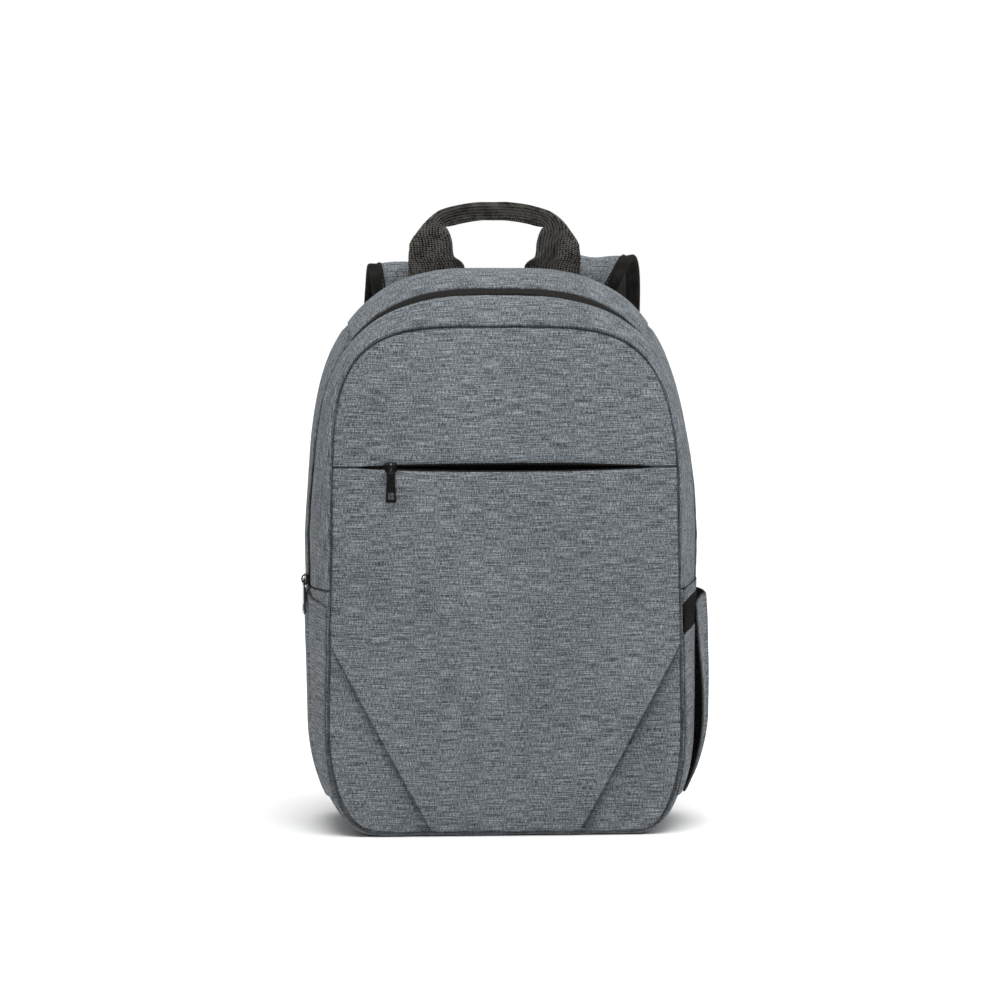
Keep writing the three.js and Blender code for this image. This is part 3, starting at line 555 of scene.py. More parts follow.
def shell(name, outer, inner, look, maps=None, loop=False, shade=None):
    # A closed slab between two grids. With loop the columns run round and join.
    rows, columns = outer.shape[:2]
    points = np.vstack([outer.reshape(-1, 3), inner.reshape(-1, 3)])
    uv = metricMap(outer) if maps is None else maps
    flat = np.vstack([uv.reshape(-1, 2)] * 2)
    back = rows * columns
    at = lambda i, j: i * columns + j % columns
    faces = []
    spans = columns if loop else columns - 1
    for i in range(rows - 1):
        for j in range(spans):
            a, b, c, d = at(i, j), at(i, j + 1), at(i + 1, j + 1), at(i + 1, j)
            faces += [(a, b, c, d), (back + d, back + c, back + b, back + a)]
    for i in (0, rows - 1):
        faces += [(at(i, j), at(i, j + 1), back + at(i, j + 1), back + at(i, j)) for j in range(spans)]
    if not loop:
        for j in (0, columns - 1):
            faces += [(at(i, j), at(i + 1, j), back + at(i + 1, j), back + at(i, j)) for i in range(rows - 1)]
    both = None if shade is None else np.concatenate([np.ravel(shade), np.ones(back)])
    return meshPiece(name, points, faces, flat, look, both)


def clothOnSkin(name, node, places, columns, look="cloth", outset=0.0, wall=form["wall"], rolls=(1, 1, 1, 1),
                dents=True, puff=None):
    # A strip of the body's cloth with its edges turned in and its soft dents.
    base = skinGrid(places, columns, outset)
    normals = gridNormals(base)
    fromMiddle = base - np.array((0, 0, base[:, :, 2].mean()))
    if np.mean(np.sum(normals * fromMiddle, axis=2)) < 0:
        normals = -normals
    move = np.zeros(base.shape[:2])
    if dents:
        move += np.array([[dent(p) for p in row] for row in base])
    if puff is not None:
        move += puff(base)
    shade = np.zeros(base.shape[:2])
    for distance, on in zip(edgeDistances(base), rolls):
        if on:
            # painted shade along each turned edge
            shade = np.maximum(shade, paintedSeamShade(distance))
            move -= rolled(distance, soft["edgeRadius"] * on, soft["edgeDepth"] * on)
            move += puckers(base, distance)
    outer = base + normals * move[:, :, None]
    piece = shell(name, outer, outer - normals * wall, look, shade=shade)
    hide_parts(node)


archColumns = [-k for k in range(splitAt, archTop + 1)] + list(range(archTop - 1, splitAt - 1, -1))


ridge = dict(height=0.0006, leftHeight=0.0019, at=0.0050, width=0.0032,
             leftFrom=0.02, leftFade=0.10, top=0.395, topFade=0.06)


def frontRidge(base):
    # The gusset swells a little just behind the front seam, more on the left.
    down = edgeDistances(base)[0]
    left = np.clip((ridge["leftFrom"] - base[:, :, 0]) / ridge["leftFade"], 0, 1)
    side = np.clip((ridge["top"] - base[:, :, 2]) / ridge["topFade"], 0, 1)
    height = ridge["height"] + ridge["leftHeight"] * left * side
    return height * np.exp(-((down - ridge["at"]) / ridge["width"]) ** 2)


clothOnSkin("frontGussetCloth", "front_gusset", zipFront * cosineSteps(22), archColumns, puff=frontRidge)
clothOnSkin("rearGussetCloth", "rear_gusset", zipRear + (backSeam - zipRear) * cosineSteps(30), archColumns)
clothOnSkin("mainZipTape", "main_zip", zipFront + (zipRear - zipFront) * np.linspace(-0.25, 1.25, 9), archColumns,
            "tape", outset=-0.0012, wall=0.0008, rolls=(0, 0, 0, 0))

allPlaces = backSeam * cosineSteps(48)
clothOnSkin("baseCloth", "base_panel", allPlaces, range(-footEnd, footEnd + 1), dents=False, rolls=(1, 1, 0, 0))
clothOnSkin("sideClothLeft", "side_panel_left", allPlaces, range(-splitAt, -footEnd + 1), rolls=(1, 1, 1, 0))
clothOnSkin("sideClothRight", "side_panel_right", allPlaces, range(footEnd, splitAt + 1), rolls=(1, 1, 0, 1))
print("body cloth done")

# Front and back faces, made as fans from their seam to a spine

face = dict(inset=0.0011, seamRadius=0.0030, seamDepth=0.0034, rows=54, rowPower=1.75, wall=0.002,
            columns=40, lowerColumns=34, foldEdge=(0.0016, 0.0017))
frontRing = ringAt(0)


def bulgeAt(x, z):
    ring = frontRing
    up = min(1.0, max(0.0, (z - ring["lift"]) / (ring["top"] - ring["lift"])))
    wide = max(halfWidthAt(ring, min(z, ring["top"] - form["wall"])), 1e-4)
    across = min(1.0, abs(x) / wide)
    return form["bulge"] * (1 - across ** form["acrossPower"]) * (1 - abs(2 * up - 1) ** form["upPower"])


def frontY(x, z):
    return depthAt(frontRing, z) - bulgeAt(x, z)


def backDome(x, z):
    ring = ringAt(backSeam)
    up = min(1.0, max(0.0, z / ring["top"]))
    across = min(1.0, abs(x) / ring["half"])
    return form["dome"] * (1 - across ** form["domePower"]) * (1 - abs(2 * up - 1) ** form["domePower"])


def backY(x, z):
    return depthAt(ringAt(backSeam), z) + backDome(x, z)


def seamLine(place, inset):
    # x and z of half of a face's seam, from low to high.
    rows = halfOutline(place)
    return np.column_stack([rows[:, 0] - inset * rows[:, 3], rows[:, 2] - inset * rows[:, 4]])


def distanceToLine(points, line):
    # Distance of each point to an open line of points, all in the plane of the face.
    best = np.full(len(points), 1e9)
    for a, b in zip(line[:-1], line[1:]):
        ab = b - a
        t = np.clip(((points - a) @ ab) / max(ab @ ab, 1e-18), 0, 1)
        best = np.minimum(best, np.linalg.norm(points - a - t[:, None] * ab, axis=1))
    return best


def facePiece(name, top, right, bottom, spineZ, surface, look="cloth", wall=face["wall"], facing=-1):
    # A face bounded by a top line, a right line down and a bottom line, mirrored, and fanned to a level spine.
    # top and bottom hold the same x values from the middle to the spine's end.
    half = np.vstack([top, right, bottom[::-1]])
    loop = np.vstack([half, (half * mirror)[::-1][1:-1]])
    endX = top[-1][0]
    spine = np.column_stack([np.clip(loop[:, 0], -endX, endX), np.full(len(loop), spineZ)])
    shares = np.linspace(0, 1, face["rows"] + 1) ** face["rowPower"]
    flat = np.array([loop + (spine - loop) * t for t in shares])
    depths, shade = surface(flat.reshape(-1, 2))
    outer = np.dstack([flat[:, :, 0], depths.reshape(flat.shape[:2]), flat[:, :, 1]])
    inner = outer - np.array((0, facing * wall, 0))
    return shell(name, outer, inner, look, maps=flat, loop=True, shade=shade)


def openingAt(x):
    share = (x - form["slitShift"]) / form["slitHalf"]
    return form["gape"] / 2 * max(0.0, 1 - share ** 2) ** form["lensPower"] if abs(share) < 1 else 0.0


# Small folds on the front: from (x, z) to (x, z), width, height
frontFolds = [
    ((-0.127, 0.141), (-0.100, 0.118), 0.0050, 0.0011),
    ((-0.128, 0.150), (-0.112, 0.128), 0.0042, -0.0010),
    ((-0.130, 0.168), (-0.096, 0.150), 0.0060, 0.0008),
    ((0.128, 0.140), (0.106, 0.116), 0.0055, 0.0009),
    ((0.129, 0.158), (0.100, 0.142), 0.0070, 0.0007),
    ((-0.120, 0.268), (-0.060, 0.262), 0.0060, 0.0005),
    ((0.010, 0.292), (0.118, 0.288), 0.0055, -0.0007),
    ((-0.040, 0.335), (0.070, 0.328), 0.0120, 0.0006),
    ((-0.070, 0.225), (0.060, 0.215), 0.0160, -0.0006),
    ((0.060, 0.060), (0.100, 0.080), 0.0090, -0.0009),
]


def foldsAt(points):
    total = np.zeros(len(points))
    for start, end, width, height in frontFolds:
        distance = distanceToLine(points, np.array((start, end)))
        total += soft["foldStrength"] * height * np.exp(-(distance / width) ** 2)
    return total


def frontSurface(edges, recess):
    # Depth of the front at flat points, with its edges turned in. edges holds (line, radius, depth).
    def surface(points):
        y = np.array([frontY(x, z) for x, z in points])
        y -= np.array([dent((x, -0.06, z)) for x, z in points]) + foldsAt(points)
        shade = np.zeros(len(points))
        for line, radius, depth in edges:
            distance = distanceToLine(points, line)
            # painted shade along the turned seam and fold edges
            shade = np.maximum(shade, paintedSeamShade(distance))
            y += rolled(distance, radius, depth)
            y += puckers(np.column_stack([points[:, 0], np.zeros(len(points)), points[:, 1]]), distance)
        sunk = recess(points)
        y += sunk
        # painted shade along the slit's turned lips
        shade = np.maximum(shade, paintedSeamShade(np.abs(points[:, 1] - form["slit"]), lips["shade"]) * (sunk > 0))
        return y, shade
    return surface


def facedTop(lastX, place=0, inset=face["inset"]):
    # The arch's seam from its middle out to lastX.
    line = seamLine(place, inset)[cornerAt - 30:]
    line = line[np.argsort(line[:, 0])]
    xs = np.linspace(0, lastX, face["columns"])
    return np.column_stack([xs, np.interp(xs, line[:, 0], line[:, 1])])


def levelLine(lastX, z, count=face["columns"]):
    return np.column_stack([np.linspace(0, lastX, count), np.full(count, z)])


# the spine's half length and its height in each part of the front
spineHalf = dict(upper=0.074, lower=0.050, back=0.060)
spineHeight = dict(upper=0.330, lower=0.190, lining=0.220)
seamAll = seamLine(0, face["inset"])


# shade is the reach of the painted shade along the slit's lips
lips = dict(least=0.00012, rollLeast=0.0001, looseAt=0.0022, tight=(0.0013, 0.0013),
            upper=(0.0075, 0.0034), lower=(0.0042, 0.0026), shade=0.0010)


def slitEdge(up, count, start, end):
    # One lip of the slit between two x values.
    xs = np.linspace(start, end, count)
    return np.column_stack([xs, [form["slit"] + up * max(openingAt(x), lips["least"]) for x in xs]])


def lipRoll(points, up):
    # The lips turn in softly where the slit gapes, and tightly in the seam beyond it.
    xs = np.linspace(-0.14, 0.14, 120)
    line = np.array([(x, form["slit"] + up * max(openingAt(x), lips["rollLeast"])) for x in xs])
    distance = distanceToLine(points, line)
    loose = np.clip(np.array([openingAt(x) for x in points[:, 0]]) / lips["looseAt"], 0, 1)
    wide = rolled(distance, *lips["upper" if up > 0 else "lower"])
    return rolled(distance, *lips["tight"]) * (1 - loose) + wide * loose


def makeFrontUpper():
    top = facedTop(spineHalf["upper"])
    right = seamAll[(seamAll[:, 1] > form["slit"] + 0.0002) & (seamAll[:, 0] > spineHalf["upper"] + 0.001)][::-1]
    edgeX = np.interp(form["slit"], seamAll[footEnd:cornerAt, 1], seamAll[footEnd:cornerAt, 0])
    lower = slitEdge(1, 24, edgeX, spineHalf["upper"])[:-1]
    bottom = slitEdge(1, face["columns"], 0, spineHalf["upper"])
    seam = np.vstack([seamAll[footEnd:], (seamAll[footEnd:] * mirror)[::-1]])
    surface = frontSurface([(seam, face["seamRadius"], face["seamDepth"])], lambda points: lipRoll(points, 1))
    piece = facePiece("frontUpperCloth", top, np.vstack([right, lower]), bottom, spineHeight["upper"], surface)
    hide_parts("front_panel_upper")


def tuckLine():
    # The diagonal fold's edge on the right, from its foot up to the side seam.
    rows = seamAll[footEnd:cornerAt]
    topX = np.interp(form["tuck"], rows[:, 1], rows[:, 0])
    return np.array([(form["tuckFoot"], rows[0, 1]), (topX, form["tuck"])])


def makeFrontLower():
    rows = seamAll[footEnd:cornerAt]
    foot, head = tuckLine()
    edgeX = np.interp(form["slit"], rows[:, 1], rows[:, 0])
    top = slitEdge(-1, face["lowerColumns"], 0, spineHalf["lower"])
    shoulder = slitEdge(-1, 30, spineHalf["lower"], edgeX)[1:]
    side = rows[(rows[:, 1] > form["tuck"] + 0.001) & (rows[:, 1] < form["slit"] - 0.0002)][::-1]
    diagonal = head + (foot - head) * np.linspace(0, 1, 70)[:, None]
    bottom = levelLine(spineHalf["lower"], rows[0, 1], face["lowerColumns"])
    foldLine = np.array([foot, head])
    seamEdge = (face["seamRadius"], face["seamDepth"])
    surface = frontSurface([
        (rows, *seamEdge), (rows * mirror, *seamEdge), (np.array([(-foot[0], foot[1]), foot]), *seamEdge),
        (foldLine, *face["foldEdge"]), (foldLine * mirror, *face["foldEdge"]),
    ], lambda points: lipRoll(points, -1))
    right = np.vstack([shoulder, side, diagonal])
    piece = facePiece("frontLowerCloth", top, right, bottom, spineHeight["lower"], surface)
    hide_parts("front_panel_lower")


makeFrontUpper()
makeFrontLower()

# the painted shadow beside the diagonal fold: a narrow band and a broad one, the broad one strong on the right and
# weakened near the fold's top on the left
corner = dict(lap=0.004, deep=dict(left=0.0030, right=0.0050), broad=dict(left=0.06, right=0.20),
              fade=dict(left=0.040, right=0.002), shallow=0.0016, rise=0.024, columns=26, rows=60,
              paintedFoldShade=0.50, foldReach=0.0050, broadShadowReach=0.034, edgeShare=0.6)


def makeCorner(name, side, node):
    # Corner cloth under the diagonal fold, deepest beside the fold.
    rows = seamAll[footEnd:cornerAt]
    foot, head = tuckLine()
    heights = rows[0, 1] + (form["tuck"] - rows[0, 1]) * cosineSteps(corner["rows"], True, False)
    across = cosineSteps(corner["columns"], False, True)
    flat = []
    for z in heights:
        edge = np.interp(z, rows[:, 1], rows[:, 0])
        start = foot[0] + (head[0] - foot[0]) * (z - foot[1]) / (head[1] - foot[1]) - corner["lap"]
        flat.append([(side * (start + (edge - start) * t), z) for t in across])
    flat = np.array(flat)
    points = flat.reshape(-1, 2)
    share = np.tile(across, len(heights))
    y = np.array([frontY(x, z) for x, z in points])
    y -= np.array([dent((x, -0.06, z)) for x, z in points]) + foldsAt(points)
    sideName = "left" if side < 0 else "right"
    deep = corner["deep"][sideName]
    low = np.clip((points[:, 1] - heights[0]) / corner["rise"], 0, 1) ** 0.6
    y += (deep + (corner["shallow"] - deep) * share ** 0.8) * low
    seam = rows * np.array((side, 1))
    edge = np.minimum(distanceToLine(points, seam), points[:, 1] - heights[0])
    y += rolled(edge, face["seamRadius"], face["seamDepth"] * corner["edgeShare"])
    fold = np.array((foot, head)) * np.array((side, 1))
    away = distanceToLine(points, fold)
    # painted shadow beside the fold, and painted shade along the seams
    shade = corner["paintedFoldShade"] * paintedSeamShade(away, corner["foldReach"])
    shade = shade + corner["broad"][sideName] * paintedSeamShade(away, corner["broadShadowReach"])
    fading = np.clip((head[1] - points[:, 1]) / corner["fade"][sideName], 0.3, 1)
    shade = np.maximum(paintedSeamShade(edge), shade * fading)
    outer = np.column_stack([points[:, 0], y, points[:, 1]]).reshape(*flat.shape[:2], 3)
    piece = shell(name, outer, outer + np.array((0, face["wall"], 0)), "cloth", maps=flat, shade=shade)
    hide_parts(node)


makeCorner("cornerClothLeft", -1, "corner_panel_left")
makeCorner("cornerClothRight", 1, "corner_panel_right")
print("front done")


lining = dict(gap=0.0008, wall=0.0012, wave=0.0004, waves=90)


def makePocketLining():
    inset = form["wall"] + lining["gap"]
    seam = seamLine(1, inset)
    top = facedTop(spineHalf["upper"], 1, inset)
    low = seam[footEnd + 4, 1]
    right = seam[(seam[:, 1] > low) & (seam[:, 0] > spineHalf["upper"] + 0.001)][::-1]
    bottom = levelLine(spineHalf["upper"], low)
    ring = ringAt(1)

    def surface(points):
        y = np.array([depthAt(ring, z) for z in points[:, 1]])
        return y + lining["wave"] * np.sin(points[:, 0] * lining["waves"]), None
    piece = facePiece("pocketLining", top, right, bottom, spineHeight["lining"], surface, "lining",
                      wall=lining["wall"])
    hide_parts("front_pocket_back")


makePocketLining()

back = dict(quilt=0.0022, channel=0.0026, lines=(-0.052, 0.052), lineWidth=0.0070, wall=0.0074,
            edgeRadius=0.0030, edgeDepth=0.0026, dents=0.8, spineZ=0.215, sink=0.0006, domeEdge=0.03,
            flatFrom=0.395, flatFade=0.03, channelTop=0.372, channelFoot=0.05, channelFade=0.02)


def makeBackPad():
    # Padded back: a soft dome with two sewn channels and a turned edge.
    seam = seamLine(backSeam, face["inset"])
    top = facedTop(spineHalf["back"], backSeam)
    right = seam[(seam[:, 1] > seam[footEnd, 1] - 1e-6) & (seam[:, 0] > spineHalf["back"] + 0.001)][::-1]
    bottom = levelLine(spineHalf["back"], seam[0, 1])
    rim = np.vstack([seam, (seam * mirror)[::-1]])

    def surface(points):
        y = np.array([backY(x, z) for x, z in points])
        edge = distanceToLine(points, rim)
        # flat where the handle and straps are sewn on
        sewn = np.clip((back["flatFrom"] - points[:, 1]) / back["flatFade"], 0, 1)
        y += back["quilt"] * np.clip(edge / back["domeEdge"], 0, 1) ** 0.5 * sewn - back["sink"]
        inside = np.clip((back["channelTop"] - points[:, 1]) / back["channelFade"], 0, 1)
        inside *= np.clip((points[:, 1] - back["channelFoot"]) / back["channelFade"], 0, 1)
        for x in back["lines"]:
            y -= back["channel"] * inside * np.exp(-((points[:, 0] - x) / back["lineWidth"]) ** 2)
        y += np.array([dent((x, 0.06, z)) for x, z in points]) * back["dents"]
        y -= rolled(edge, back["edgeRadius"], back["edgeDepth"])
        # painted shade along the rim's turned edge
        return y, paintedSeamShade(edge)
    piece = facePiece("backPad", top, right, bottom, back["spineZ"], surface, wall=back["wall"], facing=1)
    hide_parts("back_panel")


makeBackPad()
print("back done")

# Side pockets


def sidePoint(place, z, side, outset=0.0):
    ring = ringAt(place)
    x = halfWidthAt(ring, z)
    slope = (halfWidthAt(ring, z + 1e-4) - halfWidthAt(ring, max(z - 1e-4, ring["lift"]))) / 2e-4
    length = math.hypot(1, slope)
    return np.array((side * (x + outset / length), depthAt(ring, z), z - outset * slope / length))


def sideLayer(name, side, places, heights, outset, wall, look, node, radius=0.0010, depth=0.0008,
              rolls=(1, 1, 1, 1)):
    # A layer of cloth on the side. heights(place) gives its column, outset(place, share up) its stand-off.
    shares = np.linspace(0, 1, len(heights(places[0])))
    grid = np.array([[sidePoint(p, z, side, outset(p, t)) for z, t in zip(heights(p), shares)] for p in places])
    grid += np.array([[(side * dent(sidePoint(p, z, side)), 0, 0) for z in heights(p)] for p in places])
    normals = gridNormals(grid)
    if (normals[:, :, 0] * side).mean() < 0:
        normals = -normals
    move = np.zeros(grid.shape[:2])
    shade = np.zeros(grid.shape[:2])
    for distance, on in zip(edgeDistances(grid), rolls):
        if on:
            move -= rolled(distance, radius, depth)
            # painted shade along the turned edges
            shade = np.maximum(shade, on * paintedSeamShade(distance))
    outer = grid + normals * move[:, :, None]
    piece = shell(name, outer, grid - normals * wall, look, maps=metricMap(grid)[:, :, ::-1], shade=shade)
    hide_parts(node)


pocket = dict(wall=0.0016, out=0.0019, foot=0.030, sewn=0.1, leftFront=0.1725, leftRear=0.1815,
              leftRun=3, leftPower=0.8, top=0.175, tilt=0.009, pleatRear=2.4, elastic=0.023, gap=0.0003,
              bulge=0.0092, wallFront=1.8, wallTurn=1.7, wallDrop=0.002, wallRise=0.007, wallRun=1.5,
              wallPower=0.7, stitchLeft=0.0065, stitchRight=0.0215)


def spaced(start, end, count):
    return start + (end - start) * cosineSteps(count)


def leftTop(place):
    along = min(1.0, place / pocket["leftRun"]) ** pocket["leftPower"]
    return pocket["leftFront"] + (pocket["leftRear"] - pocket["leftFront"]) * along


sideLayer("pocketClothLeft", -1, spaced(pocket["sewn"], backSeam - pocket["sewn"], 44),
          lambda p: spaced(pocket["foot"], leftTop(p), 50), lambda p, t: pocket["out"], pocket["wall"],
          "cloth", "side_pocket_left", rolls=(0.3, 1, 1, 1))


def pocketTopAt(place):
    return pocket["top"] + pocket["tilt"] * min(1.0, place / pocket["pleatRear"])


frontStrip = spaced(pocket["sewn"], pocket["pleatRear"], 18)
sideLayer("pleatClothRight", 1, frontStrip,
          lambda p: spaced(pocket["foot"], pocketTopAt(p) - pocket["elastic"] - pocket["gap"], 44),
          lambda p, t: pocket["out"], pocket["wall"], "cloth", "side_pleat_right", rolls=(0.3, 1, 1, 1))
sideLayer("hemClothRight", 1, frontStrip, lambda p: spaced(pocketTopAt(p), pocketTopAt(p) + pocket["tilt"], 12),
          lambda p, t: pocket["out"], pocket["wall"], "cloth", "side_hem_right", rolls=(0.3, 1, 1, 1))

elastic = dict(ribs=12, ribHeight=0.00045, ribBase=0.4)


def elasticOut(share):
    rib = abs(math.sin(math.pi * elastic["ribs"] * share))
    return pocket["out"] + elastic["ribHeight"] * (rib - elastic["ribBase"])


def elasticHeights(place):
    top = pocketTopAt(place)
    return np.linspace(top - pocket["elastic"], top - pocket["gap"], elastic["ribs"] * 8 + 1)


sideLayer("pocketElastic", 1, frontStrip, elasticHeights, lambda p, t: elasticOut(t), pocket["wall"],
          "elastic", "side_elastic_right", radius=0.0006, depth=0.0005)

# the wall's stand-off: along the places, at its front edge by height, and by height
wallAcross = ((1.8, 0.90), (4, 1.0), (6, 0.98), (7, 0.78), (8.9, 0.1))
wallEdge = ((0, 0.2), (0.2, 0.42), (0.42, 0.66), (0.6, 0.55), (0.78, 0.22), (0.9, 0.06), (1, 0.05))
wallUp = ((0, 0), (0.1, 0.30), (0.25, 0.66), (0.42, 0.96), (0.65, 0.85), (0.86, 0.58), (1, 0.5))


def smoothShare(table, at):
    xs, ys = np.array(table, float).T
    i = int(np.clip(np.searchsorted(xs, at) - 1, 0, len(xs) - 2))
    return float(curveThrough(ys, i + min(1.0, max(0.0, (at - xs[i]) / (xs[i + 1] - xs[i])))))


def wallOut(place, share):
    # The wall stands off the body, but its front edge lies near the pleat at its top and foot.
    t = min(1.0, (place - pocket["wallFront"]) / pocket["wallTurn"])
    t = t * t * (3 - 2 * t)
    across = smoothShare(wallEdge, share) * (1 - t) + smoothShare(wallAcross, place) * t
    return 2 * pocket["out"] + pocket["bulge"] * across * smoothShare(wallUp, share)


def wallTop(place):
    along = min(1.0, (place - pocket["wallFront"]) / pocket["wallRun"]) ** pocket["wallPower"]
    return pocket["top"] - pocket["wallDrop"] + pocket["wallRise"] * along


sideLayer("pocketClothRight", 1, spaced(pocket["wallFront"], backSeam - pocket["sewn"], 44),
          lambda p: spaced(pocket["foot"], wallTop(p), 60), wallOut, pocket["wall"],
          "cloth", "side_pocket_right", radius=0.0014, depth=0.0011)
print("pockets done")

# Zip teeth and tapes

teeth = dict(pitch=0.0014, width=0.0030, length=0.00095, height=0.0007)
stitch = dict(pitch=0.0032, width=0.0007, length=0.0025, height=0.00035)


def toothRow(name, path, out, across, bar=teeth, look="coil"):
    # Small rounded bars across a path, at a steady pitch.
    path = np.asarray(path)
    pitch, width, length, height = (bar[key] for key in ("pitch", "width", "length", "height"))
    lengths = np.concatenate([[0], np.cumsum(np.linalg.norm(np.diff(path, axis=0), axis=1))])
    count = int(lengths[-1] / pitch)
    profile = np.array([(-1, 0), (-0.75, 0.7), (0, 1), (0.75, 0.7), (1, 0)])
    points, faces, uvs = [], [], []
    for k in range(count):
        s = (k + 0.5) * pitch
        centre, o, c = (np.array([np.interp(s, lengths, rows[:, a]) for a in range(3)])
                        for rows in (path, out, across))
        along = np.cross(c, o)
        base = len(points)
        for end, squeeze in ((-1, 0.55), (-0.7, 1), (0.7, 1), (1, 0.55)):
            for x, h in profile:
                points.append(centre + c * width / 2 * end + along * x * length / 2 * squeeze
                              + o * height * h * squeeze)
                uvs.append((s, end * width / 2))
        for e in range(3):
            for j in range(5):
                a, b = base + e * 5 + j, base + e * 5 + (j + 1) % 5
                faces.append((a, b, b + 5, a + 5))
        faces.append(tuple(base + j for j in (4, 3, 2, 1, 0)))
        faces.append(tuple(base + 15 + j for j in range(5)))
    meshPiece(name, points, faces, uvs, look)


def stitchRow(name, path, out, look="thread"):
    # A line of stitches on a surface that faces out.
    across = unit(np.cross(np.gradient(path, axis=0), out))
    toothRow(name, path, out, across, stitch, look)


def mainCoil():
    middle = (zipFront + zipRear) / 2
    band = skinGrid([zipFront, middle, zipRear], archColumns, -0.0013)
    across = unit(band[2] - band[0])
    out = np.cross(unit(np.gradient(band[1], axis=0)), across)
    if out[len(out) // 2][2] < 0:
        out = -out
    toothRow("mainZipTeeth", band[1], out, across)


mainCoil()


def sideStitches(name, side, places, height, outset):
    # Stitches along a side pocket at a height.
    path = np.array([sidePoint(p, height(p), side, outset(p)) for p in places])
    path[:, 0] += [side * dent(sidePoint(p, height(p), side)) for p in places]
    out = unit(np.cross(np.gradient(path, axis=0), (0, 0, side)))
    if out[len(out) // 2][0] * side < 0:
        out = -out
    stitchRow(name, path, out)


def rightStitchOut(place):
    top = wallTop(place)
    return wallOut(place, (top - pocket["stitchRight"] - pocket["foot"]) / (top - pocket["foot"]))


sideStitches("pocketStitchesLeft", -1, np.linspace(0.3, 8.6, 120), lambda p: leftTop(p) - pocket["stitchLeft"],
             lambda p: pocket["out"])
sideStitches("pocketStitchesRight", 1, np.linspace(1.95, 8.5, 120), lambda p: wallTop(p) - pocket["stitchRight"],
             rightStitchOut)

slitZip = dict(tapeHeight=0.007, peek=0.0007, wall=0.0012, clearance=0.0006, behind=0.0012, tooth=0.0022,
               toothOut=0.0001, toothUp=0.0006, columns=110)


def frontTape(name, up, node):
    xs = np.linspace(form["slitShift"] - form["slitHalf"], form["slitShift"] + form["slitHalf"], slitZip["columns"])
    edges = np.array([max(openingAt(x) - slitZip["peek"], slitZip["clearance"] / 2) for x in xs])

    def tapePoint(x, edge, share):
        z = form["slit"] + up * (edge + share * slitZip["tapeHeight"])
        return x, frontY(x, z) + form["wall"] + slitZip["clearance"] + slitZip["behind"], z
    grid = np.array([[tapePoint(x, edge, t) for x, edge in zip(xs, edges)] for t in np.linspace(0, 1, 6)])
    piece = shell(name, grid, grid + np.array((0, slitZip["wall"], 0)), "tape")
    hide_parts(node)
    path = grid[0] + np.array((0, -slitZip["toothOut"], up * slitZip["toothUp"]))
    flat = np.tile((0, -1, 0), (len(xs), 1)).astype(float)
    across = np.tile((0, 0, 1), (len(xs), 1)).astype(float)
    toothRow(name + "Teeth", path, flat, across, dict(teeth, width=slitZip["tooth"]))


frontTape("slitTapeUpper", 1, "front_zip_tape_upper")
frontTape("slitTapeLower", -1, "front_zip_tape_lower")
print("zips done")

# Sliders and pulls, modelled flat at the origin (x across, y up, z out) and then set on their hinges

metal = dict(
    sliderThick=0.0022, crownHeight=0.0030, crownLength=0.0080, bar=0.0012, crownWidth=0.0018,
    pullLength=0.027, pullTop=0.0060, pullFoot=0.0080, pullThick=0.0012, rim=0.0013, window=0.0050, barOut=0.0031,
    groove=(0.36, 0.58), grooveDeep=0.0006, crownLap=0.0002, neckGap=0.0005, neckHole=0.0014, footHole=0.0021,
    faceInset=0.0009, faceStep=(0.0003, -0.00025), plateBevel=0.00022, crownBevel=0.0002, pullBevel=0.00028,
    bevelAngle=35, smoothAngle=40,
)
hinges = {joint["name"]: joint for joint in frame["joints"]}


def deselectAll():
    if bpy.context.object and bpy.context.object.mode != "OBJECT":
        bpy.ops.object.mode_set(mode="OBJECT")
    bpy.ops.object.select_all(action="DESELECT")


def startCube(name, size, centre):
    deselectAll()
    bpy.ops.mesh.primitive_cube_add(size=1, location=centre)
    piece = bpy.context.object
    piece.name = name
    piece.scale = size
    bpy.ops.object.transform_apply(location=True, rotation=True, scale=True)
    return piece


def pick(piece, mode, test):
    # In edit mode, selects only the faces, edges or vertices whose middle passes the test.
    bpy.ops.object.mode_set(mode="EDIT")
    bpy.ops.mesh.select_mode(type=mode)
    bpy.ops.mesh.select_all(action="DESELECT")
    work = bmesh.from_edit_mesh(piece.data)
    parts = dict(FACE=work.faces, EDGE=work.edges, VERT=work.verts)[mode]
    for part in parts:
        middle = part.co if mode == "VERT" else (
            part.calc_center_median() if mode == "FACE" else (part.verts[0].co + part.verts[1].co) / 2)
        if test(middle, part):
            part.select_set(True)
    bmesh.update_edit_mesh(piece.data)


def finished(piece, bevel, segments=2):
    # Bevels the edges, applies, and turns the normals out.
    bpy.ops.object.mode_set(mode="OBJECT")
    modifier = piece.modifiers.new("edges", "BEVEL")
    modifier.width = bevel
    modifier.segments = segments
    modifier.limit_method = "ANGLE"
    modifier.angle_limit = math.radians(metal["bevelAngle"])
    bpy.ops.object.modifier_apply(modifier=modifier.name)
    bpy.ops.object.mode_set(mode="EDIT")
    bpy.ops.mesh.select_all(action="SELECT")
    bpy.ops.mesh.remove_doubles(threshold=1e-6)
    bpy.ops.mesh.normals_make_consistent(inside=False)
    bpy.ops.object.mode_set(mode="OBJECT")
    bpy.ops.object.shade_smooth_by_angle(angle=math.radians(metal["smoothAngle"]))
    return piece


def joined(name, pieces):
    deselectAll()
    for piece in pieces:
        piece.select_set(True)
    bpy.context.view_layer.objects.active = pieces[0]
    bpy.ops.object.join()
    pieces[0].name = name
    return pieces[0]


def setInPlace(piece, matrix):
    # Puts a piece that was modelled at the origin in its place, with the place in its mesh.
    deselectAll()
    piece.matrix_world = matrix
    piece.select_set(True)
    bpy.context.view_layer.objects.active = piece
    bpy.context.view_layer.update()
    bpy.ops.object.transform_apply(location=True, rotation=True, scale=True)
    piece.select_set(False)
    return piece


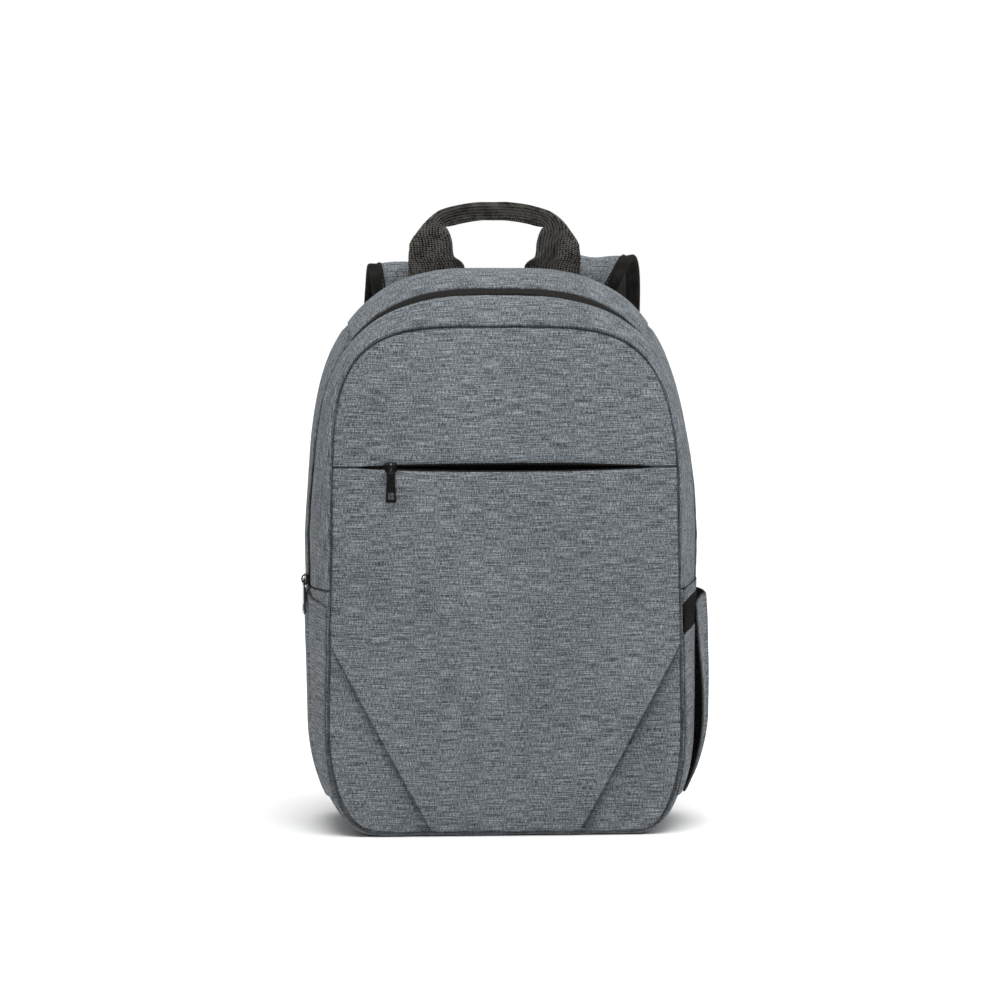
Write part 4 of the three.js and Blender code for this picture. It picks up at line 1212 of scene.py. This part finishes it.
def sliderPiece(name, length, width):
    # Slider: an upper plate over a lower one with the coil's groove between, and its crown.
    thick = metal["sliderThick"]
    plate = startCube(name, (length, width, thick), (0, 0, thick / 2))
    pick(plate, "EDGE", lambda m, e: abs(e.verts[0].co.z - e.verts[1].co.z) > thick / 2)
    bpy.ops.mesh.bevel(offset=width / 5, segments=4)
    bpy.ops.mesh.select_all(action="SELECT")
    low, high = (thick * share for share in metal["groove"])
    for z in (low, high):
        bpy.ops.mesh.bisect(plane_co=(0, 0, z), plane_no=(0, 0, 1))
        bpy.ops.mesh.select_all(action="SELECT")
    pick(plate, "FACE", lambda m, f: abs(f.normal.z) < 0.1 and low < m.z < high)
    bpy.ops.mesh.extrude_region_shrink_fatten(TRANSFORM_OT_shrink_fatten={"value": -metal["grooveDeep"]})
    pick(plate, "FACE", lambda m, f: f.normal.z > 0.9 and m.z > thick * 0.9)
    bpy.ops.mesh.inset(thickness=metal["faceInset"], depth=0.0)
    bpy.ops.mesh.inset(thickness=metal["faceStep"][0], depth=metal["faceStep"][1])
    finished(plate, metal["plateBevel"])
    return joined(name, [plate, crownPiece(name + "Crown")])


def crownPiece(name):
    # An arch of flat bar along y, bent over by spinning one end face into the other.
    radius = metal["crownLength"] / 2 - metal["bar"] / 2
    level = metal["sliderThick"] - metal["crownLap"]
    deselectAll()
    bpy.ops.mesh.primitive_plane_add(size=1, location=(0, radius, level))
    crown = bpy.context.object
    crown.name = name
    crown.scale = (metal["crownWidth"], metal["bar"], 1)
    bpy.ops.object.transform_apply(location=True, rotation=True, scale=True)
    bpy.ops.object.mode_set(mode="EDIT")
    bpy.ops.mesh.select_all(action="SELECT")
    bpy.ops.mesh.spin(steps=12, angle=math.pi, center=(0, 0, level), axis=(1, 0, 0))
    bpy.ops.object.mode_set(mode="OBJECT")
    for v in crown.data.vertices:  # the spin goes down, so the arch is turned up
        v.co.z = 2 * level - v.co.z
    top = max(v.co.z for v in crown.data.vertices) - metal["sliderThick"]
    for v in crown.data.vertices:
        rise = v.co.z - metal["sliderThick"]
        if rise > 0:
            v.co.z = metal["sliderThick"] + rise * metal["crownHeight"] / top
    bpy.ops.object.mode_set(mode="EDIT")
    work = bmesh.from_edit_mesh(crown.data)
    bmesh.ops.holes_fill(work, edges=[e for e in work.edges if e.is_boundary])
    bmesh.update_edit_mesh(crown.data)
    return finished(crown, metal["crownBevel"])


def gridPlate(name, xsAt, ys, isHole, thick):
    # A flat plate from rows of four x values, without the faces that are holes.
    deselectAll()
    bpy.ops.mesh.primitive_grid_add(x_subdivisions=3, y_subdivisions=len(ys) - 1, size=1)
    plate = bpy.context.object
    plate.name = name
    oldY = sorted(set(round(v.co.y, 5) for v in plate.data.vertices), reverse=True)
    oldX = sorted(set(round(v.co.x, 5) for v in plate.data.vertices))
    for v in plate.data.vertices:
        y = ys[oldY.index(round(v.co.y, 5))]
        v.co.x, v.co.y = xsAt(y)[oldX.index(round(v.co.x, 5))], y
    pick(plate, "FACE", isHole)
    bpy.ops.mesh.delete(type="FACE")
    bpy.ops.mesh.select_all(action="SELECT")
    bpy.ops.mesh.extrude_region_move(TRANSFORM_OT_translate={"value": (0, 0, thick)})
    bpy.ops.mesh.select_all(action="SELECT")
    bpy.ops.transform.translate(value=(0, 0, -thick / 2))
    return plate


def pullPiece(name):
    # Flat puller with a rounded foot, a neck window for the crown and a slot at the foot.
    bar, rim, foot = metal["pullThick"] / 2, metal["rim"], metal["pullThick"] / 2 - metal["pullLength"]
    windowEnd = metal["crownLength"] / 2 + metal["neckGap"]
    rows = [round(y, 6) for y in (bar, -bar, -windowEnd, -windowEnd - rim, foot + 2 * rim + metal["window"],
                                  foot + 2 * rim, foot)]
    neck, slot = (rows[1] + rows[2]) / 2, (rows[-3] + rows[-2]) / 2

    def xsAt(y):
        share = min(1.0, max(0.0, (rows[3] - y) / (rows[3] - rows[-1])))
        half = (metal["pullTop"] + (metal["pullFoot"] - metal["pullTop"]) * share) / 2
        hole = metal["neckHole"] if y > (rows[3] + rows[4]) / 2 else metal["footHole"]
        return -half, -hole, hole, half
    pull = gridPlate(name, xsAt, rows, lambda c, f: abs(c.x) < 0.0005 and (
        abs(c.y - neck) < 0.0015 or abs(c.y - slot) < 0.001), metal["pullThick"])
    pick(pull, "EDGE", lambda c, e: abs(e.verts[0].co.z - e.verts[1].co.z) > bar and abs(c.y - rows[-1]) < 1e-5)
    bpy.ops.mesh.bevel(offset=metal["rim"], segments=4)
    return finished(pull, metal["pullBevel"], 3)


def hingeFrame(joint, up):
    # x across, y up and z out at a hinge.
    across = -Vector(joint["axis"]).normalized()
    out = across.cross(Vector(up)).normalized()
    upward = out.cross(across)
    turn = Matrix((across, upward, out)).transposed().to_4x4()
    return Matrix.Translation(Vector(joint["pos_m"])) @ turn


def addZipMetal(name, joint, up, length, width):
    place = hingeFrame(joint, up)
    inwards = Matrix.Translation((0, 0, -metal["barOut"]))
    slider = setInPlace(sliderPiece(name + "Slider", length, width), place @ inwards)
    pull = setInPlace(pullPiece(name + "Pull"), place)
    for piece, body, node in ((slider, "bag", "_slider"), (pull, joint["child"], "_pull")):
        piece.data.materials.clear()
        piece.data.materials.append(looks["metal"])
        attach(piece, body)
        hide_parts(name + node)


# the front pull hangs along the slope of the cloth below the slit
slitUp = (0, frontY(-0.086, form["slit"]) - frontY(-0.086, form["slit"] - metal["pullLength"]), metal["pullLength"])
addZipMetal("front", hinges["front_pull_swing"], slitUp, 0.009, 0.0074)
addZipMetal("main", hinges["main_pull_swing"], (0, 0, 1), 0.0074, 0.009)
print("sliders done")

# Carry handle: one band, flat at the legs, folded lengthwise at the grip

handle = dict(halfSpan=0.0675, top=0.4798, foot=0.402, thick=0.0019, gap=0.0026, lap=0.0005, across=30,
              legMiddle=0.49, tilt=0.0050, curl=0.0024, curlShare=0.22, ripple=0.0005, ripplesPerMetre=60)
handleRows = np.array([  # inner x, inner z, outer x, outer z, fold, set back, curl of the inner edge
    (0.350, 0.00, 1.000, 0.00, 0.0, 0.0000, 0.0),
    (0.345, 0.30, 1.000, 0.29, 0.0, 0.0000, 0.4),
    (0.375, 0.39, 1.000, 0.37, 0.0, 0.0000, 1.0),
    (0.455, 0.445, 1.000, 0.44, 0.0, 0.0000, 0.8),
    (0.480, 0.50, 0.995, 0.51, 0.0, 0.0000, 0.1),
    (0.490, 0.60, 0.975, 0.585, 0.05, 0.0000, 0.0),
    (0.515, 0.68, 0.905, 0.675, 0.22, 0.0000, 0.0),
    (0.550, 0.73, 0.790, 0.805, 0.60, -0.0004, 0.0),
    (0.590, 0.756, 0.668, 0.893, 0.95, -0.0006, 0.0),
    (0.565, 0.764, 0.580, 0.930, 1.0, 0.0014, 0.0),
    (0.490, 0.776, 0.490, 0.955, 1.0, 0.0034, 0.0),
    (0.340, 0.807, 0.340, 0.984, 1.0, 0.0040, 0.0),
    (0.120, 0.833, 0.120, 0.998, 1.0, 0.0038, 0.0),
    (-0.120, 0.833, -0.120, 0.998, 1.0, 0.0038, 0.0),
])


def handleSection(row, side, front):
    # Across the band: the front face up to the fold, then back down behind it.
    inX, inZ, outX, outZ, fold, setBack, curl = row
    fold = min(1.0, max(0.0, fold))
    rise = handle["top"] - handle["foot"]
    low = np.array((handle["halfSpan"] * inX, handle["foot"] + rise * inZ))
    high = np.array((handle["halfSpan"] * outX, handle["foot"] + rise * outZ))
    span = np.linalg.norm(high - low)
    bend = handle["gap"] / 2 * min(1.0, fold * 5) + 1e-6
    straight = span - bend
    total = straight * (1 + fold) + math.pi * bend * min(1.0, fold * 5)
    section = []
    for w in np.linspace(0, 1, handle["across"] + 1):
        reach = w * total
        if reach <= straight:
            along, y = reach, 0.0
        elif reach < straight + math.pi * bend:
            turn = (reach - straight) / bend
            along, y = straight + bend * math.sin(turn), bend * (1 - math.cos(turn))
        else:
            along, y = straight - (reach - straight - math.pi * bend), 2 * bend
        x, z = low + (high - low) * along / span
        y += handle["tilt"] * fold * max(0.0, 1 - along / span)  # the folded face looks a little downwards
        y -= handle["curl"] * curl * max(0.0, 1 - w / handle["curlShare"]) ** 2
        section.append((side * x, front + y + setBack, z))
    return section


def sewnBack():
    # The back's depth where the handle and the straps are sewn on.
    return backY(handle["halfSpan"] * handle["legMiddle"], handle["foot"])


def makeHandle():
    front = sewnBack() + handle["lap"] + handle["thick"] / 2
    count = len(handleRows) - 2
    places = np.linspace(0, count, 90)
    left = [handleSection(curveThrough(handleRows, p), -1, front) for p in places]
    right = [handleSection(curveThrough(handleRows, p), 1, front) for p in places]
    middle = 0.5 * (np.array(left[-1:]) + np.array(right[-1:]))
    grid = np.concatenate([left, middle, right[::-1]])
    normals = gridNormals(grid)
    normals[np.linalg.norm(normals, axis=2) < 0.5] = (0, -1, 0)
    if normals[5, 5, 1] > 0:
        normals = -normals
    uv = metricMap(grid)[:, :, ::-1]
    ripple = np.array([[noise.noise(Vector(p) * handle["ripplesPerMetre"]) for p in row] for row in grid])
    grid = grid + normals * handle["ripple"] * ripple[:, :, None]
    half = normals * handle["thick"] / 2
    piece = shell("handleWebbing", grid + half, grid - half, "webbing", maps=uv)
    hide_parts("handle_webbing")


makeHandle()
print("handle done")

# Shoulder straps: pad, its mesh underside and the binding round both edges

strap = dict(x=0.074, spread=0.016, width=0.058, thick=0.009, top=0.433, foot=0.200, reach=0.050, seat=0.00225,
             binding=0.009, edgeThick=0.0034, tape=0.0009, sections=110, columns=41, padShare=0.97,
             bindingShare=0.985, bindingLift=0.0002, stitchIn=0.0018, handleThick=0.0022, ripple=0.0007,
             meshWall=0.0010, meshGap=0.0002, turns=9, rise={-1: -0.0035, 1: 0.0001})
strapRows = np.array([  # up, back, out on the left, out on the right, wide, thick
    (0.740, 0.000, -0.75, -1.00, 0.94, 0.30),
    (0.840, 0.060, -0.70, -0.90, 1.00, 0.45),
    (0.925, 0.100, -0.58, -0.60, 1.00, 0.60),
    (0.975, 0.180, -0.46, -0.10, 1.00, 0.80),
    (1.000, 0.340, -0.36, 0.45, 1.00, 1.00),
    (0.985, 0.500, -0.30, 0.72, 1.00, 1.00),
    (0.920, 0.740, -0.24, 0.88, 1.00, 1.00),
    (0.800, 0.920, -0.10, 0.92, 1.00, 1.00),
    (0.600, 1.000, 0.35, 0.92, 1.00, 1.00),
    (0.380, 0.960, 0.86, 0.93, 0.96, 1.00),
    (0.180, 0.840, 0.95, 0.96, 0.86, 1.00),
    (0.000, 0.700, 1.00, 1.00, 0.72, 0.70),
])


def strapFrames(side):
    # Point, across, out, half width and thickness along the strap.
    front = sewnBack() + 2 * handle["lap"] + strap["handleThick"] + strap["seat"]
    rows = np.array([curveThrough(strapRows, p) for p in np.linspace(0, len(strapRows) - 1, strap["sections"])])
    up, behind, outLeft, outRight, wide, thick = rows.T
    out = outLeft if side < 0 else outRight
    up = up + strap["rise"][side] * np.clip(up / 0.6, 0, 1) ** 3 / (strap["top"] - strap["foot"])
    path = np.column_stack([side * (strap["x"] + strap["spread"] * out), front + strap["reach"] * behind,
                            strap["foot"] + (strap["top"] - strap["foot"]) * up])
    along = unit(np.gradient(path, axis=0))
    across = unit(np.array((1.0, 0, 0)) - along * along[:, [0]])
    return path, across, np.cross(along, across), strap["width"] * wide / 2, strap["thick"] * thick


def strapShape(share, thick):
    # Half thickness of the pad at a share of its half width.
    edge = strap["edgeThick"] / 2
    swell = max(0.0, 1 - min(1.0, abs(share) / 0.80) ** 2.6) ** 0.62
    return min(edge, thick / 2) + max(0.0, thick / 2 - edge) * swell


def makeStrap(side, name):
    path, across, outward, halves, thicks = strapFrames(side)
    shares = np.linspace(-strap["padShare"], strap["padShare"], strap["columns"])
    upper, lower = [], []
    for k in range(len(path)):
        ripple = np.array([noise.noise(Vector((s * 1.3, k * 0.09, side * 4.0))) * strap["ripple"] for s in shares])
        rise = np.array([strapShape(s, thicks[k]) for s in shares]) + ripple * (1 - np.abs(shares) ** 4)
        base = path[k] + np.outer(shares * halves[k], across[k])
        upper.append(base + np.outer(rise, outward[k]))
        lower.append(base - np.outer(rise, outward[k]))
    upper, lower = np.array(upper), np.array(lower)
    clothSide, meshSide = (upper, lower) if outward[30][2] > 0 else (lower, upper)
    meshOut = unit(meshSide - clothSide)
    padEnd = meshSide - meshOut * (strap["meshWall"] + strap["meshGap"])
    uv = metricMap(clothSide)
    pad = shell("strapPad" + name, clothSide, padEnd, "cloth", maps=uv)
    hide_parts("shoulder_strap_" + name.lower())
    shell("strapMesh" + name, meshSide - meshOut * strap["meshWall"], meshSide, "mesh",
          maps=uv[:, :, ::-1])
    level = 1 if clothSide is upper else -1
    for edge, label in ((side, "outer"), (-side, "inner")):
        makeBinding(edge, path, across, outward, halves, thicks, label, name)
        inset = halves - strap["binding"] + strap["stitchIn"]
        rises = np.array([strapShape(share, thick) for share, thick in zip(inset / halves, thicks)])
        rises += strap["bindingLift"] + strap["tape"]
        line = path + across * (edge * inset)[:, None] + outward * (level * rises)[:, None]
        stitchRow(f"bindingStitches{label.capitalize()}{name}", line[1:-1], outward[1:-1] * level, "webbing")


def makeBinding(edge, path, across, outward, halves, thicks, label, name):
    # A tape folded round the strap's edge.
    last = strap["bindingShare"]
    outer, inner = [], []
    for k in range(len(path)):
        half, thick = halves[k], thicks[k]
        loop = []
        for level in (1, -1):
            shares = np.linspace(1 - strap["binding"] / half, last, 8)[::level]
            loop += [(edge * s * half, level * (strapShape(s, thick) + strap["bindingLift"])) for s in shares]
            if level > 0:
                r = loop[-1][1]
                loop += [(edge * (last * half + r * math.sin(t) * 0.8), r * math.cos(t))
                         for t in np.linspace(0, math.pi, strap["turns"] + 2)[1:-1]]
        loop = np.array(loop)
        tangent = unit(np.gradient(loop, axis=0), 1e-9)
        normal = np.column_stack([-tangent[:, 1], tangent[:, 0]]) * edge
        thin = np.ones((len(loop), 1))  # the tape is thinner at its two ends
        thin[[0, -1]] = 0.25
        away = loop + normal * strap["tape"] * thin
        place = lambda flat: path[k] + np.outer(flat[:, 0], across[k]) + np.outer(flat[:, 1], outward[k])
        outer.append(place(away))
        inner.append(place(loop))
    outer, inner = np.array(outer), np.array(inner)
    piece = shell("binding" + label.capitalize() + name, outer, inner, "binding",
                  maps=metricMap(outer)[:, :, ::-1])
    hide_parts(f"strap_binding_{label}_{name.lower()}")


for side, name in ((-1, "Left"), (1, "Right")):
    makeStrap(side, name)
print("straps done")

# Adjusters, lower webbing and the tabs that hold it

lower = dict(adjusterWidth=0.038, thick=0.004, bar=0.004, slot=0.009, drop=0.0012, webbing=0.025, webbingThick=0.0016,
             anchorX=0.098, anchorWidth=0.032, anchorBottom=0.024, anchorHeight=0.034, lap=0.0005, padSwell=0.0022,
             anchorRows=24, anchorSwell=0.0006, anchorEdge=(0.0014, 0.0011), bow=0.003, points=120,
             corner=0.0026, gripHalf=0.004, gripInset=0.0007, gripHeight=0.0006, bevel=0.0007)


def adjusterPiece(name):
    # Ladder frame with three bars, grip ridges on the upper one.
    half = lower["adjusterWidth"] / 2
    bar, slot = lower["bar"], lower["slot"]
    ys = [bar / 2 + slot + bar, bar / 2 + slot, bar / 2, -bar / 2, -bar / 2 - slot, -bar / 2 - slot - bar]
    holes = [(ys[1] + ys[2]) / 2, (ys[3] + ys[4]) / 2]
    piece = gridPlate(name, lambda y: (-half, -half + bar, half - bar, half), ys,
                      lambda c, f: abs(c.x) < 0.001 and min(abs(c.y - h) for h in holes) < 0.001, lower["thick"])
    pick(piece, "EDGE", lambda c, e: abs(e.verts[0].co.z - e.verts[1].co.z) > 0.002 and abs(abs(c.x) - half) < 1e-5
         and abs(abs(c.y) - ys[0]) < 1e-5)
    bpy.ops.mesh.bevel(offset=lower["corner"], segments=5)
    pick(piece, "FACE", lambda c, f: f.normal.z > 0.9 and c.y > ys[1] - 0.0002 and abs(c.x) < lower["gripHalf"])
    bpy.ops.mesh.inset(thickness=lower["gripInset"], depth=lower["gripHeight"])
    return finished(piece, lower["bevel"], 3)


def bandPiece(name, path, acrosses, width, thick, look, node):
    # A flat band along a smooth path.
    out = unit(np.cross(acrosses, unit(np.gradient(path, axis=0))))
    shares = cosineSteps(14) * 2 - 1
    grid = path[:, None] + acrosses[:, None] * (shares * width / 2)[None, :, None]
    rise = thick / 2 * (1 - 0.35 * np.abs(shares) ** 6)
    up = out[:, None] * rise[None, :, None]
    piece = shell(name, grid + up, grid - up, look, maps=metricMap(grid)[:, :, ::-1])
    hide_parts(node)


def makeLower(side, name):
    foot = Vector(strapFrames(side)[0][-1])
    lapX = lower["anchorX"] - lower["webbing"] / 2
    top = lower["anchorBottom"] + lower["anchorHeight"]

    def lapAt(z):
        behind = lower["padSwell"] + 2 * lower["lap"] + form["wall"] + lower["webbingThick"] / 2
        return Vector((side * lower["anchorX"], backY(lapX, z) + behind, z))
    lap = [lapAt(top + lower["lap"]), lapAt(lower["anchorBottom"] + lower["anchorHeight"] / 2)]
    up = (foot - lap[0]).normalized()
    acrossUnit = (Vector((-1, 0, 0)) + up * up.x).normalized()
    out = acrossUnit.cross(up)
    height = 2 * (lower["slot"] + lower["bar"]) + lower["bar"]
    middle = foot - up * (height / 2 + lower["drop"])
    turn = Matrix((acrossUnit, up, out)).transposed().to_4x4()
    place = Matrix.Translation(middle) @ turn
    adjuster = setInPlace(adjusterPiece("adjuster" + name), place)
    adjuster.data.materials.clear()
    adjuster.data.materials.append(looks["plastic"])
    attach(adjuster, "bag")
    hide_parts("strap_adjuster_" + name.lower())
    bend = (lower["thick"] + lower["webbingThick"]) / 2 + lower["lap"]
    bar, slot = lower["bar"], lower["slot"]
    bends = [(bar / 2 + slot - 0.001, bend), (bar / 2 + 0.002, bend), (-0.0028, bend),
             (-bar / 2 - slot + 0.0008, -bend), (-height / 2 - 0.002, -bend)]
    route = np.array([tuple(p) for p in [place @ Vector((0, y, o)) for y, o in bends] + lap])
    places = np.linspace(0, len(route) - 1, lower["points"])
    fine = np.array([curveThrough(route, t) for t in places])
    fine[:, 1] += lower["bow"] * np.sin(np.clip(places - 4, 0, 1) * math.pi) ** 2  # out behind the adjuster
    acrosses = np.tile(tuple(acrossUnit), (len(fine), 1))
    bandPiece("lowerWebbing" + name, fine, acrosses, lower["webbing"], lower["webbingThick"], "webbing",
              "lower_webbing_" + name.lower())
    halfTab, count = lower["anchorWidth"] / 2, lower["anchorRows"]
    xs = spaced(lower["anchorX"] - halfTab, lower["anchorX"] + halfTab, count)
    zs = spaced(lower["anchorBottom"], top, count)
    tab = np.array([[(side * x, backY(x, z) + lower["padSwell"], z) for x in xs] for z in zs])
    swell = np.sin(math.pi * np.linspace(0, 1, count + 1))
    middleSwell = np.outer(swell, swell) * lower["anchorSwell"]
    edge = np.minimum.reduce(list(edgeDistances(tab)))
    outer = tab + np.array((0, 1, 0)) * (form["wall"] + middleSwell - rolled(edge, *lower["anchorEdge"]))[:, :, None]
    piece = shell("anchorTab" + name, outer, tab, "cloth", maps=metricMap(tab))
    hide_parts("strap_anchor_" + name.lower())
    near, far = 3, count - 3  # rows and columns of the tab that the box of stitches follows
    corners = [(near, near), (near, far), (far, far), (far, near), (near, near), (far, far), (far, near), (near, far)]
    legs = [np.linspace(a, b, 12) for a, b in zip(corners[:-1], corners[1:])]
    line = np.array([outer[int(round(i)), int(round(j))] for leg in legs for i, j in leg[:-1]])
    stitchRow("anchorStitches" + name, line, np.tile((0.0, 1.0, 0.0), (len(line), 1)))


for side, name in ((-1, "Left"), (1, "Right")):
    makeLower(side, name)
print("lower straps done")

deselectAll()
